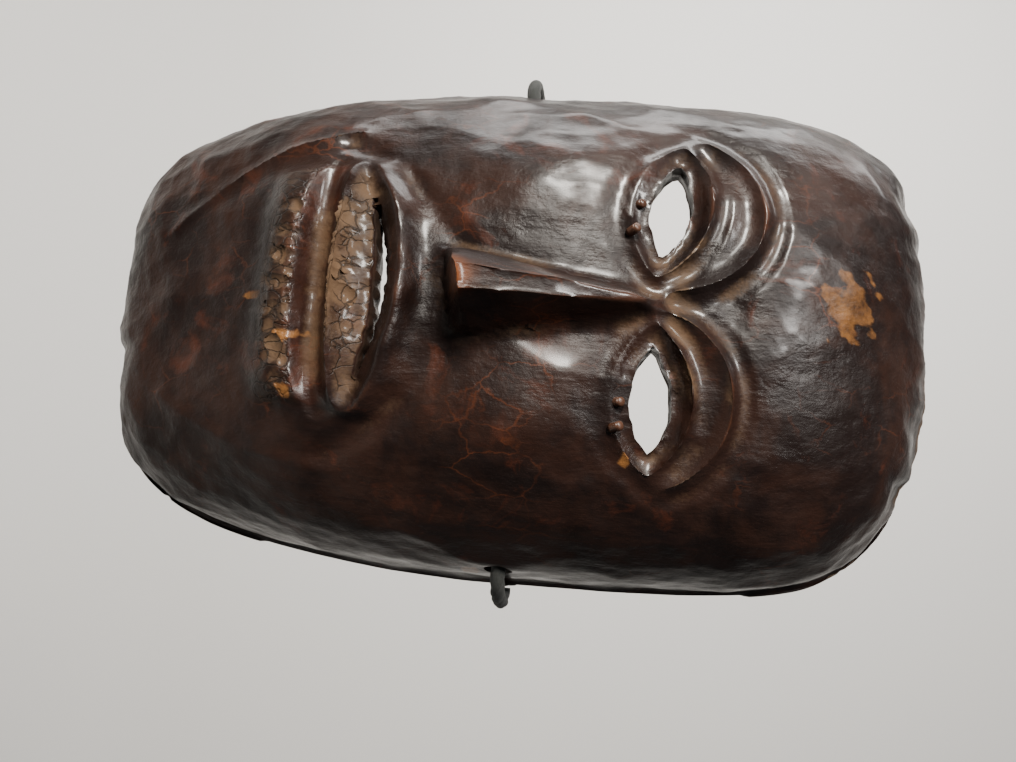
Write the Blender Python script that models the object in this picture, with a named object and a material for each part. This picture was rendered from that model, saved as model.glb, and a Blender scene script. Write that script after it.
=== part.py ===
"""Carved wooden face mask with a cord tied through its two side holes.

Frame: metres, +Z up the face, the face looks along -Y, +X is the wearer's left.
The origin is the middle of the opening at the back, in the plane of the rim (y = 0).
"""
import math

import bmesh
import bpy
import numpy as np
from mathutils import Matrix, Vector

MM = 0.001
GAP = 0.3 * MM                # air left between two pieces that touch

# face block
HEIGHT = 262 * MM             # chin end to forehead end
WIDTH = 158 * MM              # across the cheeks
DEPTH = 60 * MM               # rim plane to the front of the plain shell
SIDE_WALL = 9 * MM            # thickness of the sides at the rim
FRONT_WALL = 14 * MM          # thickness of the front before the carving
OUTLINE_POWER = 4.1           # 2 is an ellipse, larger is squarer
DOME_POWER = 2.5              # 2 is round, larger has steeper sides and a flatter front
CHIN_TAPER = 0.12             # share of the width lost at the chin end
CHIN_EASE = 0.18              # share of the depth lost under the mouth

# eyes
EYE_SPREAD = 54 * MM          # centre to centre
EYE_HEIGHT = 44.5 * MM        # above the middle of the mask
EYE_OFFSET = {-1: (1.5 * MM, 1.5 * MM), 1: (-1.5 * MM, -1.5 * MM)}     # outward and up, uneven by hand
EYE_LENGTH, EYE_TALL = 41 * MM, 21 * MM        # carved outline
HOLE_LENGTH, HOLE_TALL = 29 * MM, 11.5 * MM    # pierced opening
EYE_SLANT = {-1: 9.0, 1: 0.5}                  # degrees, wearer's right and left

# nose
NOSE_TIP_Z, NOSE_ROOT_Z = -12 * MM, 40 * MM
NOSE_WIDTH, NOSE_ROOT_WIDTH = 27 * MM, 7 * MM
NOSE_RISE, NOSE_ROOT_RISE = 22 * MM, 5 * MM
NOSE_SLANT = 0.18             # the cut end climbs this much across the nose
NOSE_RIDGE = 5.5 * MM

# mouth
MOUTH_X, MOUTH_Z = -2.5 * MM, -33 * MM
MOUTH_WIDTH = 74 * MM
MOUTH_ARCH = 9 * MM           # the corners lie this far under the middle
SLIT_WIDTH, SLIT_TALL = 64 * MM, 6.4 * MM
LIP_SAG = 13 * MM             # the lower lip's edge hangs this far under the slit
UPPER_LIP_RISE, LOWER_LIP_RISE, CHIN_RISE = 6 * MM, 7.5 * MM, 5.5 * MM
CHIN_DROP = 15 * MM           # from the lower lip's edge to the chin boss

# pegs in the lower lids
PEG_DIAMETER = 2.6 * MM
PEG_DEPTH = 3.5 * MM          # buried length
PEG_PROUD = 1.1 * MM
PEG_Q = -8.3 * MM             # below the middle line of the eye
PEG_PLACES = {"right_inner": (-1, -9.0 * MM), "right_outer": (-1, -1.0 * MM),
              "left_inner": (1, 1.0 * MM), "left_outer": (1, 7.5 * MM)}

# cord
CORD_DIAMETER = 4.5 * MM
CORD_HOLE_PLAY = 4.1 * MM     # the hole is wider than the cord by this
CORD_HOLE = CORD_DIAMETER + CORD_HOLE_PLAY
CORD_HOLE_INSET = 24 * MM     # hole centre to the rim plane
TIE_Z = 3 * MM                # height of the side holes
TIE_STAND_OFF = 2.32 * MM     # air between the tie and the wood beside the hole
TIE_POWER = 3.0               # 2 makes the tie an oval loop, larger squares its corners
TIE_BEHIND = 5.6 * MM         # how far the tie passes behind the rim plane
KNOT_DIAMETER, KNOT_LENGTH = 12 * MM, 10.5 * MM
KNOT_BEHIND = 7.8 * MM        # knot's middle to the rim plane
HEAD_CORD_BEHIND = 9.6 * MM   # head cord's middle line to the rim plane
HEAD_CORD_LENGTH = 285 * MM
CORD_LEAD, CORD_BELLY = 30 * MM, 50 * MM       # its run out before it falls, and its width low down


# ---------------------------------------------------------------- shape of the face

def ramp(low, high, value):
    """0 below low, 1 above high, an S-shaped rise between them."""
    t = np.clip((value - low) / (high - low), 0.0, 1.0)
    return t * t * (3.0 - 2.0 * t)


def bell(value, width):
    """1 at zero, falling off on both sides within about the given width."""
    return np.exp(-(value / width) ** 2)


def half_width(z, half_across, half_up):
    """Half the width of the plain outline, narrower toward the chin."""
    return half_across * (1.0 - CHIN_TAPER * ramp(0.0, 1.0, -z / half_up))


def spread(x, z, half_across, half_up):
    """0 in the middle of the outline and 1 on it."""
    across = np.abs(x) / half_width(z, half_across, half_up)
    up = np.abs(z) / half_up
    power = OUTLINE_POWER
    return (across ** power + up ** power) ** (1.0 / power), across, up


def plain_depth(x, z, half_across, half_up, depth):
    """The uncarved dome: steep at the sides, easier at the two ends."""
    s, across, up = spread(x, z, half_across, half_up)
    dome = np.clip(1.0 - np.clip(s, 0.0, 1.0) ** DOME_POWER, 0.0, 1.0) ** (1.0 / DOME_POWER)
    under_chin = 1.0 - CHIN_EASE * ramp(0.38, 0.86, -z / half_up)
    return depth * dome * under_chin, s


def lens(p, q, length, tall):
    """Signed distance to an almond made of two arcs, negative inside it."""
    a, b = length / 2.0, tall / 2.0
    radius = (a * a + b * b) / (2.0 * b)
    centre = radius - b
    return np.maximum(np.hypot(p, q + centre), np.hypot(p, q - centre)) - radius


def eye_centre(side):
    """Distance of the eye from the middle line, and its height."""
    outward, up = EYE_OFFSET[side]
    return EYE_SPREAD / 2.0 + outward, EYE_HEIGHT + up


def eye_frame(x, z, side):
    """p runs along the eye away from the nose, q toward the forehead."""
    turn = math.radians(EYE_SLANT[side])
    out, up = eye_centre(side)
    dx, dz = side * x - out, z - up
    return (dx * math.cos(turn) + dz * math.sin(turn),
            -dx * math.sin(turn) + dz * math.cos(turn))


def eye_carving(x, z, side):
    """Sunken socket, raised rim line, groove and the brow ridge above."""
    p, q = eye_frame(x, z, side)
    edge = lens(p, q, EYE_LENGTH, EYE_TALL)
    sunk = -2.2 * MM * (1.0 - ramp(-5 * MM, 2 * MM, edge))
    into_hole = -3.0 * MM * (1.0 - ramp(-8 * MM, -3 * MM, edge)) * ramp(-2 * MM, 4 * MM, q)
    rim = 1.4 * MM * bell(edge, 2.3 * MM)
    groove = -1.4 * MM * bell(edge - 4.8 * MM, 2.6 * MM)
    tall = 0.60 if side < 0 else 0.50
    brow_at = np.hypot(p, q / tall * 0.55) - 0.58 * EYE_LENGTH
    above = ramp(-3 * MM, 4 * MM, q)
    brow = above * (2.1 * MM * bell(brow_at, 3.0 * MM) - 1.0 * MM * bell(brow_at - 5 * MM, 3 * MM))
    return sunk + into_hole + rim + groove + brow


def nose_rise(x, z):
    """A long wedge with a narrow ridge and a blunt, squared end."""
    t = np.clip((z - NOSE_TIP_Z) / (NOSE_ROOT_Z - NOSE_TIP_Z), 0.0, 1.0)
    base = 0.5 * (NOSE_WIDTH * (1.0 - t) + NOSE_ROOT_WIDTH * t)
    top = 0.5 * NOSE_RIDGE * (1.0 - 0.55 * t)
    rise = NOSE_RISE * (1.0 - t) ** 0.9 + NOSE_ROOT_RISE * t
    flank = np.clip((base - np.abs(x)) / (base - top), 0.0, 1.0) ** 0.85
    blunt = ramp(-3.0 * MM, 1.2 * MM, z - NOSE_TIP_Z - NOSE_SLANT * x)
    root = 1.0 - ramp(0.0, 9 * MM, z - NOSE_ROOT_Z)
    return rise * flank * blunt * root


def mouth_line(x):
    """Height of the slit: arched, with the corners turned down."""
    return MOUTH_Z - MOUTH_ARCH * (2.0 * x / MOUTH_WIDTH) ** 2


def lip_edge(x):
    """Height of the lower lip's outer edge."""
    t = np.clip(1.0 - (2.0 * x / MOUTH_WIDTH) ** 2, 0.0, 1.0)
    return mouth_line(x) - LIP_SAG * t ** 0.8


def mouth_carving(x, z):
    """Rounded upper lip, lower lip that slopes into the slit, groove, chin boss."""
    x = x - MOUTH_X
    above = z - mouth_line(x)
    inside = np.clip(1.0 - (2.0 * x / (1.05 * MOUTH_WIDTH)) ** 2, 0.0, 1.0)
    full = np.sqrt(inside)
    upper = UPPER_LIP_RISE * full * bell(above - 6.5 * MM, 4.5 * MM)
    v = z - lip_edge(x)
    width = np.where(v > 0.0, 6.0 * MM, 3.4 * MM)
    lower = LOWER_LIP_RISE * full * np.exp(-(v / width) ** 2)
    under = -3.0 * MM * full * bell(v + 6.5 * MM, 3.4 * MM)
    boss_span = np.clip(1.0 - (x / (0.48 * MOUTH_WIDTH)) ** 2, 0.0, 1.0) ** 0.5
    boss = CHIN_RISE * boss_span * bell(v + CHIN_DROP + 1 * MM, 6.5 * MM)
    parting = -3.5 * MM * full * bell(above, 3.2 * MM)
    return upper + lower + under + boss + parting


def fold(x, z, start, bend, end, deep, width):
    """A groove along a curved line given by its two ends and a middle handle."""
    t = np.linspace(0.0, 1.0, 25)[:, None]
    line = (1 - t) ** 2 * np.array(start) + 2 * t * (1 - t) * np.array(bend) + t ** 2 * np.array(end)
    away = np.full(np.shape(x), 1.0)
    for px, pz in line:
        away = np.minimum(away, np.hypot(x - px, z - pz))
    return -deep * bell(away, width)


def carving(x, z):
    """All the carved relief that is added to the plain dome."""
    total = 3.0 * MM * bell(x, 42 * MM) * bell(z - 88 * MM, 30 * MM)
    for side in (-1, 1):
        total = total + eye_carving(x, z, side)
        total = total + 4.2 * MM * bell(side * x - 37 * MM, 19 * MM) * bell(z - 8 * MM, 21 * MM)
        total = total + fold(side * x, z, (15 * MM, -12 * MM), (30 * MM, -20 * MM),
                             (46 * MM, -46 * MM), 1.5 * MM, 3.6 * MM)
    total = total + nose_rise(x, z) + mouth_carving(x, z)
    total = total - 2.0 * MM * bell(x, 6 * MM) * bell(z - 63 * MM, 5 * MM)
    return total


def worn_end(x, z, s):
    """Dents worn into the forehead end and a small step in the chin end."""
    near = ramp(0.86, 0.97, s) * ramp(0.70, 0.88, np.abs(z) / (HEIGHT / 2))
    dents = (2.2 * MM * bell(x + 44 * MM, 5 * MM) + 1.6 * MM * bell(x + 30 * MM, 4 * MM)
             + 2.0 * MM * ramp(20 * MM, 26 * MM, x) + 2.0 * MM * ramp(38 * MM, 42 * MM, x))
    top = np.where(z > 0.0, -dents, 0.0)
    chin = np.where(z < 0.0, 1.8 * MM * ramp(10 * MM, 14 * MM, x), 0.0)
    return near * (top + chin)


def outer_point(a, b, half_across, half_up, depth, carved):
    """Point of the dome for a place on the unit square (a, b)."""
    u, v = a * np.sqrt(1 - b * b / 2), b * np.sqrt(1 - a * a / 2)
    r = np.clip(np.hypot(u, v), 0.0, 1.0)
    s = even_steps(r, half_across, depth)
    norm = np.maximum((np.abs(u) ** OUTLINE_POWER + np.abs(v) ** OUTLINE_POWER)
                      ** (1.0 / OUTLINE_POWER), 1e-9)
    z = half_up * s * v / norm
    x = half_width(z, half_across, half_up) * s * u / norm
    f, s = plain_depth(x, z, half_across, half_up, depth)
    if carved:
        f = f + carving(x, z) * (1.0 - ramp(0.86, 0.99, s))
        z = z + worn_end(x, z, s)
    return x, -np.maximum(f, 0.0) * (r < 1.0 - 1e-6), z


def even_steps(r, half_across, depth):
    """Turns even steps of r into even steps along the curve of the dome."""
    s = np.sin(np.linspace(0.0, math.pi / 2, 241))
    f = (1.0 - s ** DOME_POWER) ** (1.0 / DOME_POWER)
    run = np.concatenate([[0.0], np.cumsum(np.hypot(half_across * np.diff(s), depth * np.diff(f)))])
    return np.interp(r * run[-1], run, s)


def depth_at(x, z):
    """Depth of the carved face in front of the rim plane."""
    f, s = plain_depth(np.float64(x), np.float64(z), WIDTH / 2, HEIGHT / 2, DEPTH)
    return float(f + carving(np.float64(x), np.float64(z)) * (1.0 - ramp(0.86, 0.99, s)))


def normal_at(x, z):
    """Unit vector out of the carved face."""
    step = 1.5 * MM
    fx = (depth_at(x + step, z) - depth_at(x - step, z)) / (2 * step)
    fz = (depth_at(x, z + step) - depth_at(x, z - step)) / (2 * step)
    return Vector((-fx, -1.0, -fz)).normalized()


# ---------------------------------------------------------------- building helpers

def clear_scene():
    for old in list(bpy.data.objects):
        bpy.data.objects.remove(old, do_unlink=True)


def material(name, colour, roughness):
    made = bpy.data.materials.new(name)
    made.use_nodes = True
    shader = made.node_tree.nodes["Principled BSDF"]
    shader.inputs["Base Color"].default_value = (*colour, 1.0)
    shader.inputs["Roughness"].default_value = roughness
    shader.inputs["Metallic"].default_value = 0.0
    return made


def add(name, data, mat=None):
    made = bpy.data.objects.new(name, data)
    bpy.context.scene.collection.objects.link(made)
    if mat:
        data.materials.append(mat)
    return made


def dense_lines(count, places):
    """Grid lines from -1 to 1, closer together around the given places."""
    t = np.linspace(-1.0, 1.0, 801)
    density = np.ones_like(t)
    for middle, width, extra in places:
        density += extra * bell(t - middle, width)
    run = np.concatenate([[0.0], np.cumsum(0.5 * (density[1:] + density[:-1]))])
    return np.interp(np.linspace(0.0, run[-1], count), run, t)


def dome_solid(name, columns, rows, half_across, half_up, depth, carved, back):
    """Closed dome over a flat back at y = back."""
    bm = bmesh.new()
    bmesh.ops.create_grid(bm, x_segments=len(columns) - 1, y_segments=len(rows) - 1, size=1.0)
    bm.verts.ensure_lookup_table()
    place = np.array([v.co[:2] for v in bm.verts])
    col = np.rint((place[:, 0] + 1) / 2 * (len(columns) - 1)).astype(int)
    row = np.rint((place[:, 1] + 1) / 2 * (len(rows) - 1)).astype(int)
    x, y, z = outer_point(columns[col], rows[row], half_across, half_up, depth, carved)
    for v, point in zip(bm.verts, zip(x, y, z)):
        v.co = point
    rim = [e for e in bm.edges if e.is_boundary]
    if back > 0.0:
        out = bmesh.ops.extrude_edge_only(bm, edges=rim)
        moved = [g for g in out["geom"] if isinstance(g, bmesh.types.BMVert)]
        bmesh.ops.translate(bm, verts=moved, vec=(0.0, back, 0.0))
        rim = [e for e in bm.edges if e.is_boundary]
    bmesh.ops.contextual_create(bm, geom=rim)
    bmesh.ops.triangulate(bm, faces=[f for f in bm.faces if len(f.verts) == 4])
    bmesh.ops.recalc_face_normals(bm, faces=bm.faces[:])
    mesh = bpy.data.meshes.new(name)
    bm.to_mesh(mesh)
    bm.free()
    return mesh


def cutter(name, mesh):
    made = add(name, mesh)
    made.hide_render = True
    made.display_type = "WIRE"
    return made


def cut(target, tool):
    step = target.modifiers.new("cut_" + tool.name, "BOOLEAN")
    step.operation = "DIFFERENCE"
    step.solver = "EXACT"
    step.object = tool


def lens_prism(name, length, tall, turn, middle, near, far, steps=12, arch=0.0):
    """Almond outline carried straight along Y from near to far; its ends drop by the arch."""
    a, b = length / 2.0, tall / 2.0
    radius = (a * a + b * b) / (2.0 * b)
    reach = math.asin(a / radius)
    angles = np.linspace(-reach, reach, steps + 1)
    upper = [(radius * math.sin(t), radius * math.cos(t) - radius + b) for t in angles]
    lower = [(-p, -q) for p, q in upper[1:-1]]
    bm = bmesh.new()
    ring = []
    for p, q in [upper[0]] + upper[1:-1] + [upper[-1]] + lower:
        q = q - arch * (p / a) ** 2
        dx, dz = p * math.cos(turn) - q * math.sin(turn), p * math.sin(turn) + q * math.cos(turn)
        ring.append(bm.verts.new((middle[0] + dx, near, middle[1] + dz)))
    face = bm.faces.new(ring)
    out = bmesh.ops.extrude_face_region(bm, geom=[face])
    bmesh.ops.translate(bm, verts=[g for g in out["geom"] if isinstance(g, bmesh.types.BMVert)],
                        vec=(0.0, far - near, 0.0))
    bmesh.ops.recalc_face_normals(bm, faces=bm.faces[:])
    mesh = bpy.data.meshes.new(name)
    bm.to_mesh(mesh)
    bm.free()
    return mesh


def rod(name, diameter, start, end, sides=16, dome=0.0):
    """Straight round rod from start to end, with a low dome on its end."""
    start, end = Vector(start), Vector(end)
    axis = (end - start).normalized()
    turn = axis.to_track_quat("Z", "Y").to_matrix().to_4x4()
    length = (end - start).length
    profile = [(0.0, 0.0), (diameter / 2, 0.0), (diameter / 2, length - dome)]
    if dome > 0.0:
        profile += [(diameter / 2 * math.cos(t), length - dome + dome * math.sin(t))
                    for t in np.linspace(0.0, math.pi / 2, 4)[1:-1]]
    profile += [(0.0, length)]
    bm = bmesh.new()
    chain = [bm.verts.new((r, 0.0, h)) for r, h in profile]
    edges = [bm.edges.new(pair) for pair in zip(chain, chain[1:])]
    bmesh.ops.spin(bm, geom=chain + edges, cent=(0, 0, 0), axis=(0, 0, 1),
                   angle=2 * math.pi, steps=sides, use_merge=True)
    bmesh.ops.remove_doubles(bm, verts=bm.verts[:], dist=1e-6)
    bmesh.ops.recalc_face_normals(bm, faces=bm.faces[:])
    bmesh.ops.transform(bm, verts=bm.verts[:], matrix=Matrix.Translation(start) @ turn)
    mesh = bpy.data.meshes.new(name)
    bm.to_mesh(mesh)
    bm.free()
    return mesh


def tube(name, points, mat, resolution=2):
    """Round cord along the given points, with filled ends."""
    curve = bpy.data.curves.new(name, "CURVE")
    curve.dimensions = "3D"
    curve.bevel_depth = CORD_DIAMETER / 2
    curve.bevel_resolution = resolution
    curve.use_fill_caps = True
    line = curve.splines.new("POLY")
    line.points.add(len(points) - 1)
    for slot, point in zip(line.points, points):
        slot.co = (*point, 1.0)
    return add(name, curve, mat)


# ---------------------------------------------------------------- the cord's route

def side_wall(inset):
    """Outer and inner x of the side wall at the cord's height, this far in front of the rim."""
    out = float(half_width(TIE_Z, WIDTH / 2, HEIGHT / 2))
    found = []
    for reach, depth in ((out, DEPTH), (out - SIDE_WALL, DEPTH - FRONT_WALL)):
        found.append(reach * (1.0 - (inset / depth) ** DOME_POWER) ** (1.0 / DOME_POWER))
    return found


def tie_points(side):
    """Loop through the hole and round the rim, open where it meets the knot."""
    middle_x = sum(side_wall(0.0)) / 2
    outer, inner = side_wall(CORD_HOLE_INSET)
    lean = (middle_x - (outer + inner) / 2) / CORD_HOLE_INSET
    across = (outer - inner) / 2 + CORD_DIAMETER / 2 + TIE_STAND_OFF
    front, behind = -CORD_HOLE_INSET - 0.4 * MM, TIE_BEHIND
    middle_y, along = (front + behind) / 2, (behind - front) / 2
    angles = np.linspace(-math.pi / 2, 1.5 * math.pi, 721)
    cx, cy = np.cos(angles), -np.sin(angles)
    line_y = middle_y + along * np.sign(cy) * np.abs(cy) ** (2 / TIE_POWER)
    loop = np.stack([middle_x + lean * np.minimum(line_y, 0.0)
                     + across * np.sign(cx) * np.abs(cx) ** (2 / TIE_POWER),
                     line_y, np.full_like(cx, TIE_Z)], axis=1)
    face = KNOT_LENGTH / 2 + GAP
    beside = np.abs(loop[:, 0] - middle_x) > face + 0.35 * CORD_DIAMETER
    keep = loop[beside | (loop[:, 1] < middle_y)]
    run = np.concatenate([[0.0], np.cumsum(np.linalg.norm(np.diff(keep, axis=0), axis=1))])
    steps = np.linspace(0.0, run[-1], 24)
    even = np.stack([np.interp(steps, run, keep[:, k]) for k in range(3)], axis=1)
    lead = [even[0] * (0, 1, 1) + (middle_x + math.copysign(face, even[0, 0] - middle_x), 0, 0),
            even[-1] * (0, 1, 1) + (middle_x + math.copysign(face, even[-1, 0] - middle_x), 0, 0)]
    even = np.concatenate([lead[:1], even, lead[1:]])
    even[:, 0] *= side
    return even


def knot_centre(side):
    return np.array([side * sum(side_wall(0.0)) / 2, KNOT_BEHIND, TIE_Z])


def head_cord_points():
    """The cord leaves each knot sideways, turns down and hangs in one loop."""
    start = knot_centre(1)
    mouth = start[0] - KNOT_LENGTH / 2 - GAP
    half_span = mouth - CORD_DIAMETER
    low, high = 20 * MM, HEAD_CORD_LENGTH - 2 * CORD_DIAMETER
    t = np.linspace(0.0, 1.0, 401)
    for _ in range(60):
        sag = 0.5 * (low + high)
        across = (half_span * (1 - t) ** 3 + 3 * (half_span - CORD_LEAD) * t * (1 - t) ** 2
                  + 3 * CORD_BELLY * t ** 2 * (1 - t))
        drop = sag * (3 * t ** 2 * (1 - t) + t ** 3)
        run = np.concatenate([[0.0], np.cumsum(np.hypot(np.diff(across), np.diff(drop)))])
        if 2 * run[-1] > HEAD_CORD_LENGTH - 2 * CORD_DIAMETER:
            high = sag
        else:
            low = sag
    even = np.linspace(0.0, run[-1], 17)
    xs, ds = np.interp(even, run, across), np.interp(even, run, drop)
    left = [(mouth, HEAD_CORD_BEHIND, start[2])]
    left += [(px, HEAD_CORD_BEHIND, start[2] - d) for px, d in zip(xs, ds)]
    return left + [(-px, py, pz) for px, py, pz in left[-2::-1]]


# ---------------------------------------------------------------- the model

def build():
    clear_scene()
    wood = material("dark_wood", (0.045, 0.022, 0.015), 0.32)
    peg_wood = material("peg_wood", (0.07, 0.035, 0.022), 0.38)
    cord = material("black_cord", (0.025, 0.027, 0.025), 0.8)
    half_across, half_up = WIDTH / 2, HEIGHT / 2

    columns = dense_lines(61, [(0.0, 0.42, 0.9), (0.0, 0.08, 0.6)])
    rows = dense_lines(67, [(0.33, 0.17, 1.6), (-0.27, 0.16, 1.7)])
    block = dome_solid("mask_shell", columns, rows, half_across, half_up, DEPTH, True, 0.0)
    shell = add("mask_shell", block, wood)

    hollow = dome_solid("hollow", dense_lines(19, []), dense_lines(29, []),
                        half_across - SIDE_WALL, half_up - SIDE_WALL, DEPTH - FRONT_WALL,
                        False, 10 * MM)
    cut(shell, cutter("hollow", hollow))

    front, back = -DEPTH - 20 * MM, -0.4 * DEPTH
    for side, word in ((-1, "right"), (1, "left")):
        turn = side * math.radians(EYE_SLANT[side])
        eye = lens_prism("eye_hole_" + word, HOLE_LENGTH, HOLE_TALL, turn,
                         (side * eye_centre(side)[0], eye_centre(side)[1]), front, back)
        cut(shell, cutter("eye_hole_" + word, eye))
    reach = half_across + 12 * MM
    drill = rod("cord_holes", CORD_HOLE, (-reach, -CORD_HOLE_INSET, TIE_Z),
                (reach, -CORD_HOLE_INSET, TIE_Z))
    cut(shell, cutter("cord_holes", drill))
    slit = lens_prism("mouth_slit", SLIT_WIDTH, SLIT_TALL, 0.0, (MOUTH_X, MOUTH_Z), front, back, 16,
                      MOUTH_ARCH * (SLIT_WIDTH / MOUTH_WIDTH) ** 2)
    cut(shell, cutter("mouth_slit", slit))

    for word, (side, along) in PEG_PLACES.items():
        turn = math.radians(EYE_SLANT[side])
        out, up = eye_centre(side)
        x = side * (out + along * math.cos(turn) - PEG_Q * math.sin(turn))
        z = up + along * math.sin(turn) + PEG_Q * math.cos(turn)
        seat, out = Vector((x, -depth_at(x, z), z)), normal_at(x, z)
        peg = rod("peg_" + word, PEG_DIAMETER, seat - out * PEG_DEPTH, seat + out * PEG_PROUD,
                  12, 0.5 * PEG_PROUD)
        add("peg_" + word, peg, peg_wood)
        socket = rod("socket_" + word, PEG_DIAMETER + 2 * GAP, seat - out * (PEG_DEPTH + GAP),
                     seat + out * 6 * MM, 12)
        cut(shell, cutter("socket_" + word, socket))

    for side, word in ((-1, "right"), (1, "left")):
        tube("tie_" + word, tie_points(side), cord)
        half = Vector((KNOT_LENGTH / 2, 0.0, 0.0))
        middle = Vector(knot_centre(side))
        lump = rod("knot_" + word, KNOT_DIAMETER, middle - half, middle + half, 16)
        knot = add("knot_" + word, lump, cord)
        soften = knot.modifiers.new("soften", "BEVEL")
        soften.width, soften.segments = 1.6 * MM, 2
        soften.limit_method = "ANGLE"
        lump.shade_smooth()
    tube("head_cord", head_cord_points(), cord)
    block.shade_smooth()


build()
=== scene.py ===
# %% [markdown]
# # A carved wooden face mask
# The mask is one block of dark wood, carved on the front, hollowed at the back, pierced at the
# eyes and the mouth, and tied with a black cord through a hole in each side.
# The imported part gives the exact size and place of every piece. This script adds the fine
# surface: the carver's cuts, the chips and cracks, the worn polish and the cord's twist.

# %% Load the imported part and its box
import math

import bmesh
import bpy
import numpy as np
from mathutils import Matrix, Vector


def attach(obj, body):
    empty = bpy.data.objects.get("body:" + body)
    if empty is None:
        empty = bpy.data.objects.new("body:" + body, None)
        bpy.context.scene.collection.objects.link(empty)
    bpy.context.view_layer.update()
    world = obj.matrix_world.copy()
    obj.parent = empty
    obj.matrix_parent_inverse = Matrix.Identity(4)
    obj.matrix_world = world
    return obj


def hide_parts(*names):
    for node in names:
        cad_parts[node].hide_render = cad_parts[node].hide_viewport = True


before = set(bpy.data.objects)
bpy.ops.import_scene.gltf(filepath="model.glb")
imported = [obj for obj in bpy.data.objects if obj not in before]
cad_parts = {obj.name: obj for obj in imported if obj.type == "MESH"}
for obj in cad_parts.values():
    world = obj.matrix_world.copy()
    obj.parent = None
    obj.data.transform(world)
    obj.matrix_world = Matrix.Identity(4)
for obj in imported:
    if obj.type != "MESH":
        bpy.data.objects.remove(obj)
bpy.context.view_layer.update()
MM = 0.001

# %% [markdown]
# ## The camera
# The mask is looked at from close by, a little from the wearer's left and from slightly above
# its middle. The camera is turned a quarter turn, so the forehead lies to the right.

# %% Camera
CAMERA_PLACE = (0.065, -0.316, 0.0265)
CAMERA_AIM = (0.0209, -0.045, 0.0035)
CAMERA_ROLL = math.radians(93.6)
CAMERA_LENS, SENSOR_WIDTH = 34.7, 36.0


def add_object(name, data):
    """A new object in the scene that holds this mesh, light or camera."""
    made = bpy.data.objects.new(name, data)
    bpy.context.scene.collection.objects.link(made)
    return made


def line_of_sight(place, aim):
    """The turn that makes a camera or a light at place look at aim."""
    return (Vector(aim) - Vector(place)).to_track_quat("-Z", "Y")


def turned_camera(place, aim, roll, lens):
    """A camera at place that looks at aim, then is rolled about its line of sight."""
    data = bpy.data.cameras.new("camera")
    data.lens, data.sensor_width = lens, SENSOR_WIDTH
    data.clip_start, data.clip_end = 0.01, 30.0
    camera = add_object("camera", data)
    camera.matrix_world = (Matrix.Translation(place) @ line_of_sight(place, aim).to_matrix().to_4x4()
                           @ Matrix.Rotation(roll, 4, "Z"))
    return camera


bpy.context.scene.camera = turned_camera(CAMERA_PLACE, CAMERA_AIM, CAMERA_ROLL, CAMERA_LENS)
print("camera stands", round(math.dist(CAMERA_PLACE, CAMERA_AIM) * 1000), "mm from the face")

# %% [markdown]
# ## Helpers for numbers and meshes
# Most shapes here are heights over a grid, so two soft steps do a lot of work: `ramp` rises
# once and stays up, `bell` rises and comes back down.

# %% Number helpers


def ramp(low, high, value):
    """0 below low, 1 above high, and the S curve 3t^2 - 2t^3 between them."""
    t = np.clip((value - low) / (high - low), 0.0, 1.0)
    return t * t * (3.0 - 2.0 * t)


def bell(value, width):
    """e to the power -(value / width)^2."""
    return np.exp(-(value / width) ** 2)


def ripple(x, y, z, size, seed, layers=5):
    """Smooth pseudo-random height between about -1 and 1: a sum of sine waves in random
    directions, each layer 1.9 times finer and 0.55 times lower than the one before."""
    draw = np.random.default_rng(seed)
    total, scale, gain = np.zeros_like(x), 1.0 / size, 1.0
    for _ in range(layers):
        for _ in range(4):
            way = draw.normal(size=3)
            way = way / np.linalg.norm(way) * scale * 2 * math.pi * draw.uniform(0.7, 1.3)
            total += gain * 0.35 * np.sin(x * way[0] + y * way[1] + z * way[2] + draw.uniform(0, 6.3))
        scale, gain = scale * 1.9, gain * 0.55
    return total


# %% Mesh helpers


def make_object(name, points, faces, smooth=True, turn_outward=False):
    """A mesh object at the origin with its place in its points."""
    mesh = bpy.data.meshes.new(name)
    mesh.from_pydata(np.asarray(points).tolist(), [], faces)
    mesh.update()
    if turn_outward:
        sides = bmesh.new()
        sides.from_mesh(mesh)
        bmesh.ops.recalc_face_normals(sides, faces=sides.faces[:])
        sides.to_mesh(mesh)
        sides.free()
    if smooth:
        mesh.shade_smooth()
    return add_object(name, mesh)


def tube_faces(rings, sides):
    """Squares between neighbouring rings of a tube, whose points are numbered ring by ring."""
    i, j = np.meshgrid(np.arange(rings - 1), np.arange(sides), indexing="ij")
    k = (j + 1) % sides
    squares = np.stack([i * sides + j, i * sides + k, (i + 1) * sides + k, (i + 1) * sides + j], -1)
    return squares.reshape(-1, 4).tolist()


def cone_faces(ring, sides, middle, turned=False):
    """Triangles from one ring to a middle point, which close the end of a tube."""
    pairs = [(ring * sides + a, ring * sides + (a + 1) % sides) for a in range(sides)]
    return [[middle, b, a] if turned else [middle, a, b] for a, b in pairs]


def add_values(mesh, name, values):
    """Store one number per point, for a material to read."""
    mesh.attributes.new(name, "FLOAT", "POINT").data.foreach_set("value", values.astype(np.float32))


# %% [markdown]
# ## The cord
# A black cord is threaded through the hole in each side, round the rim, and knotted behind.
# From knot to knot one more length hangs behind the mask and goes round the wearer's head.
# A plain tube would do for its shape, but the twist of its three plies shows in the light, so
# the tube's section has three lobes and turns as it goes along.

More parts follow.
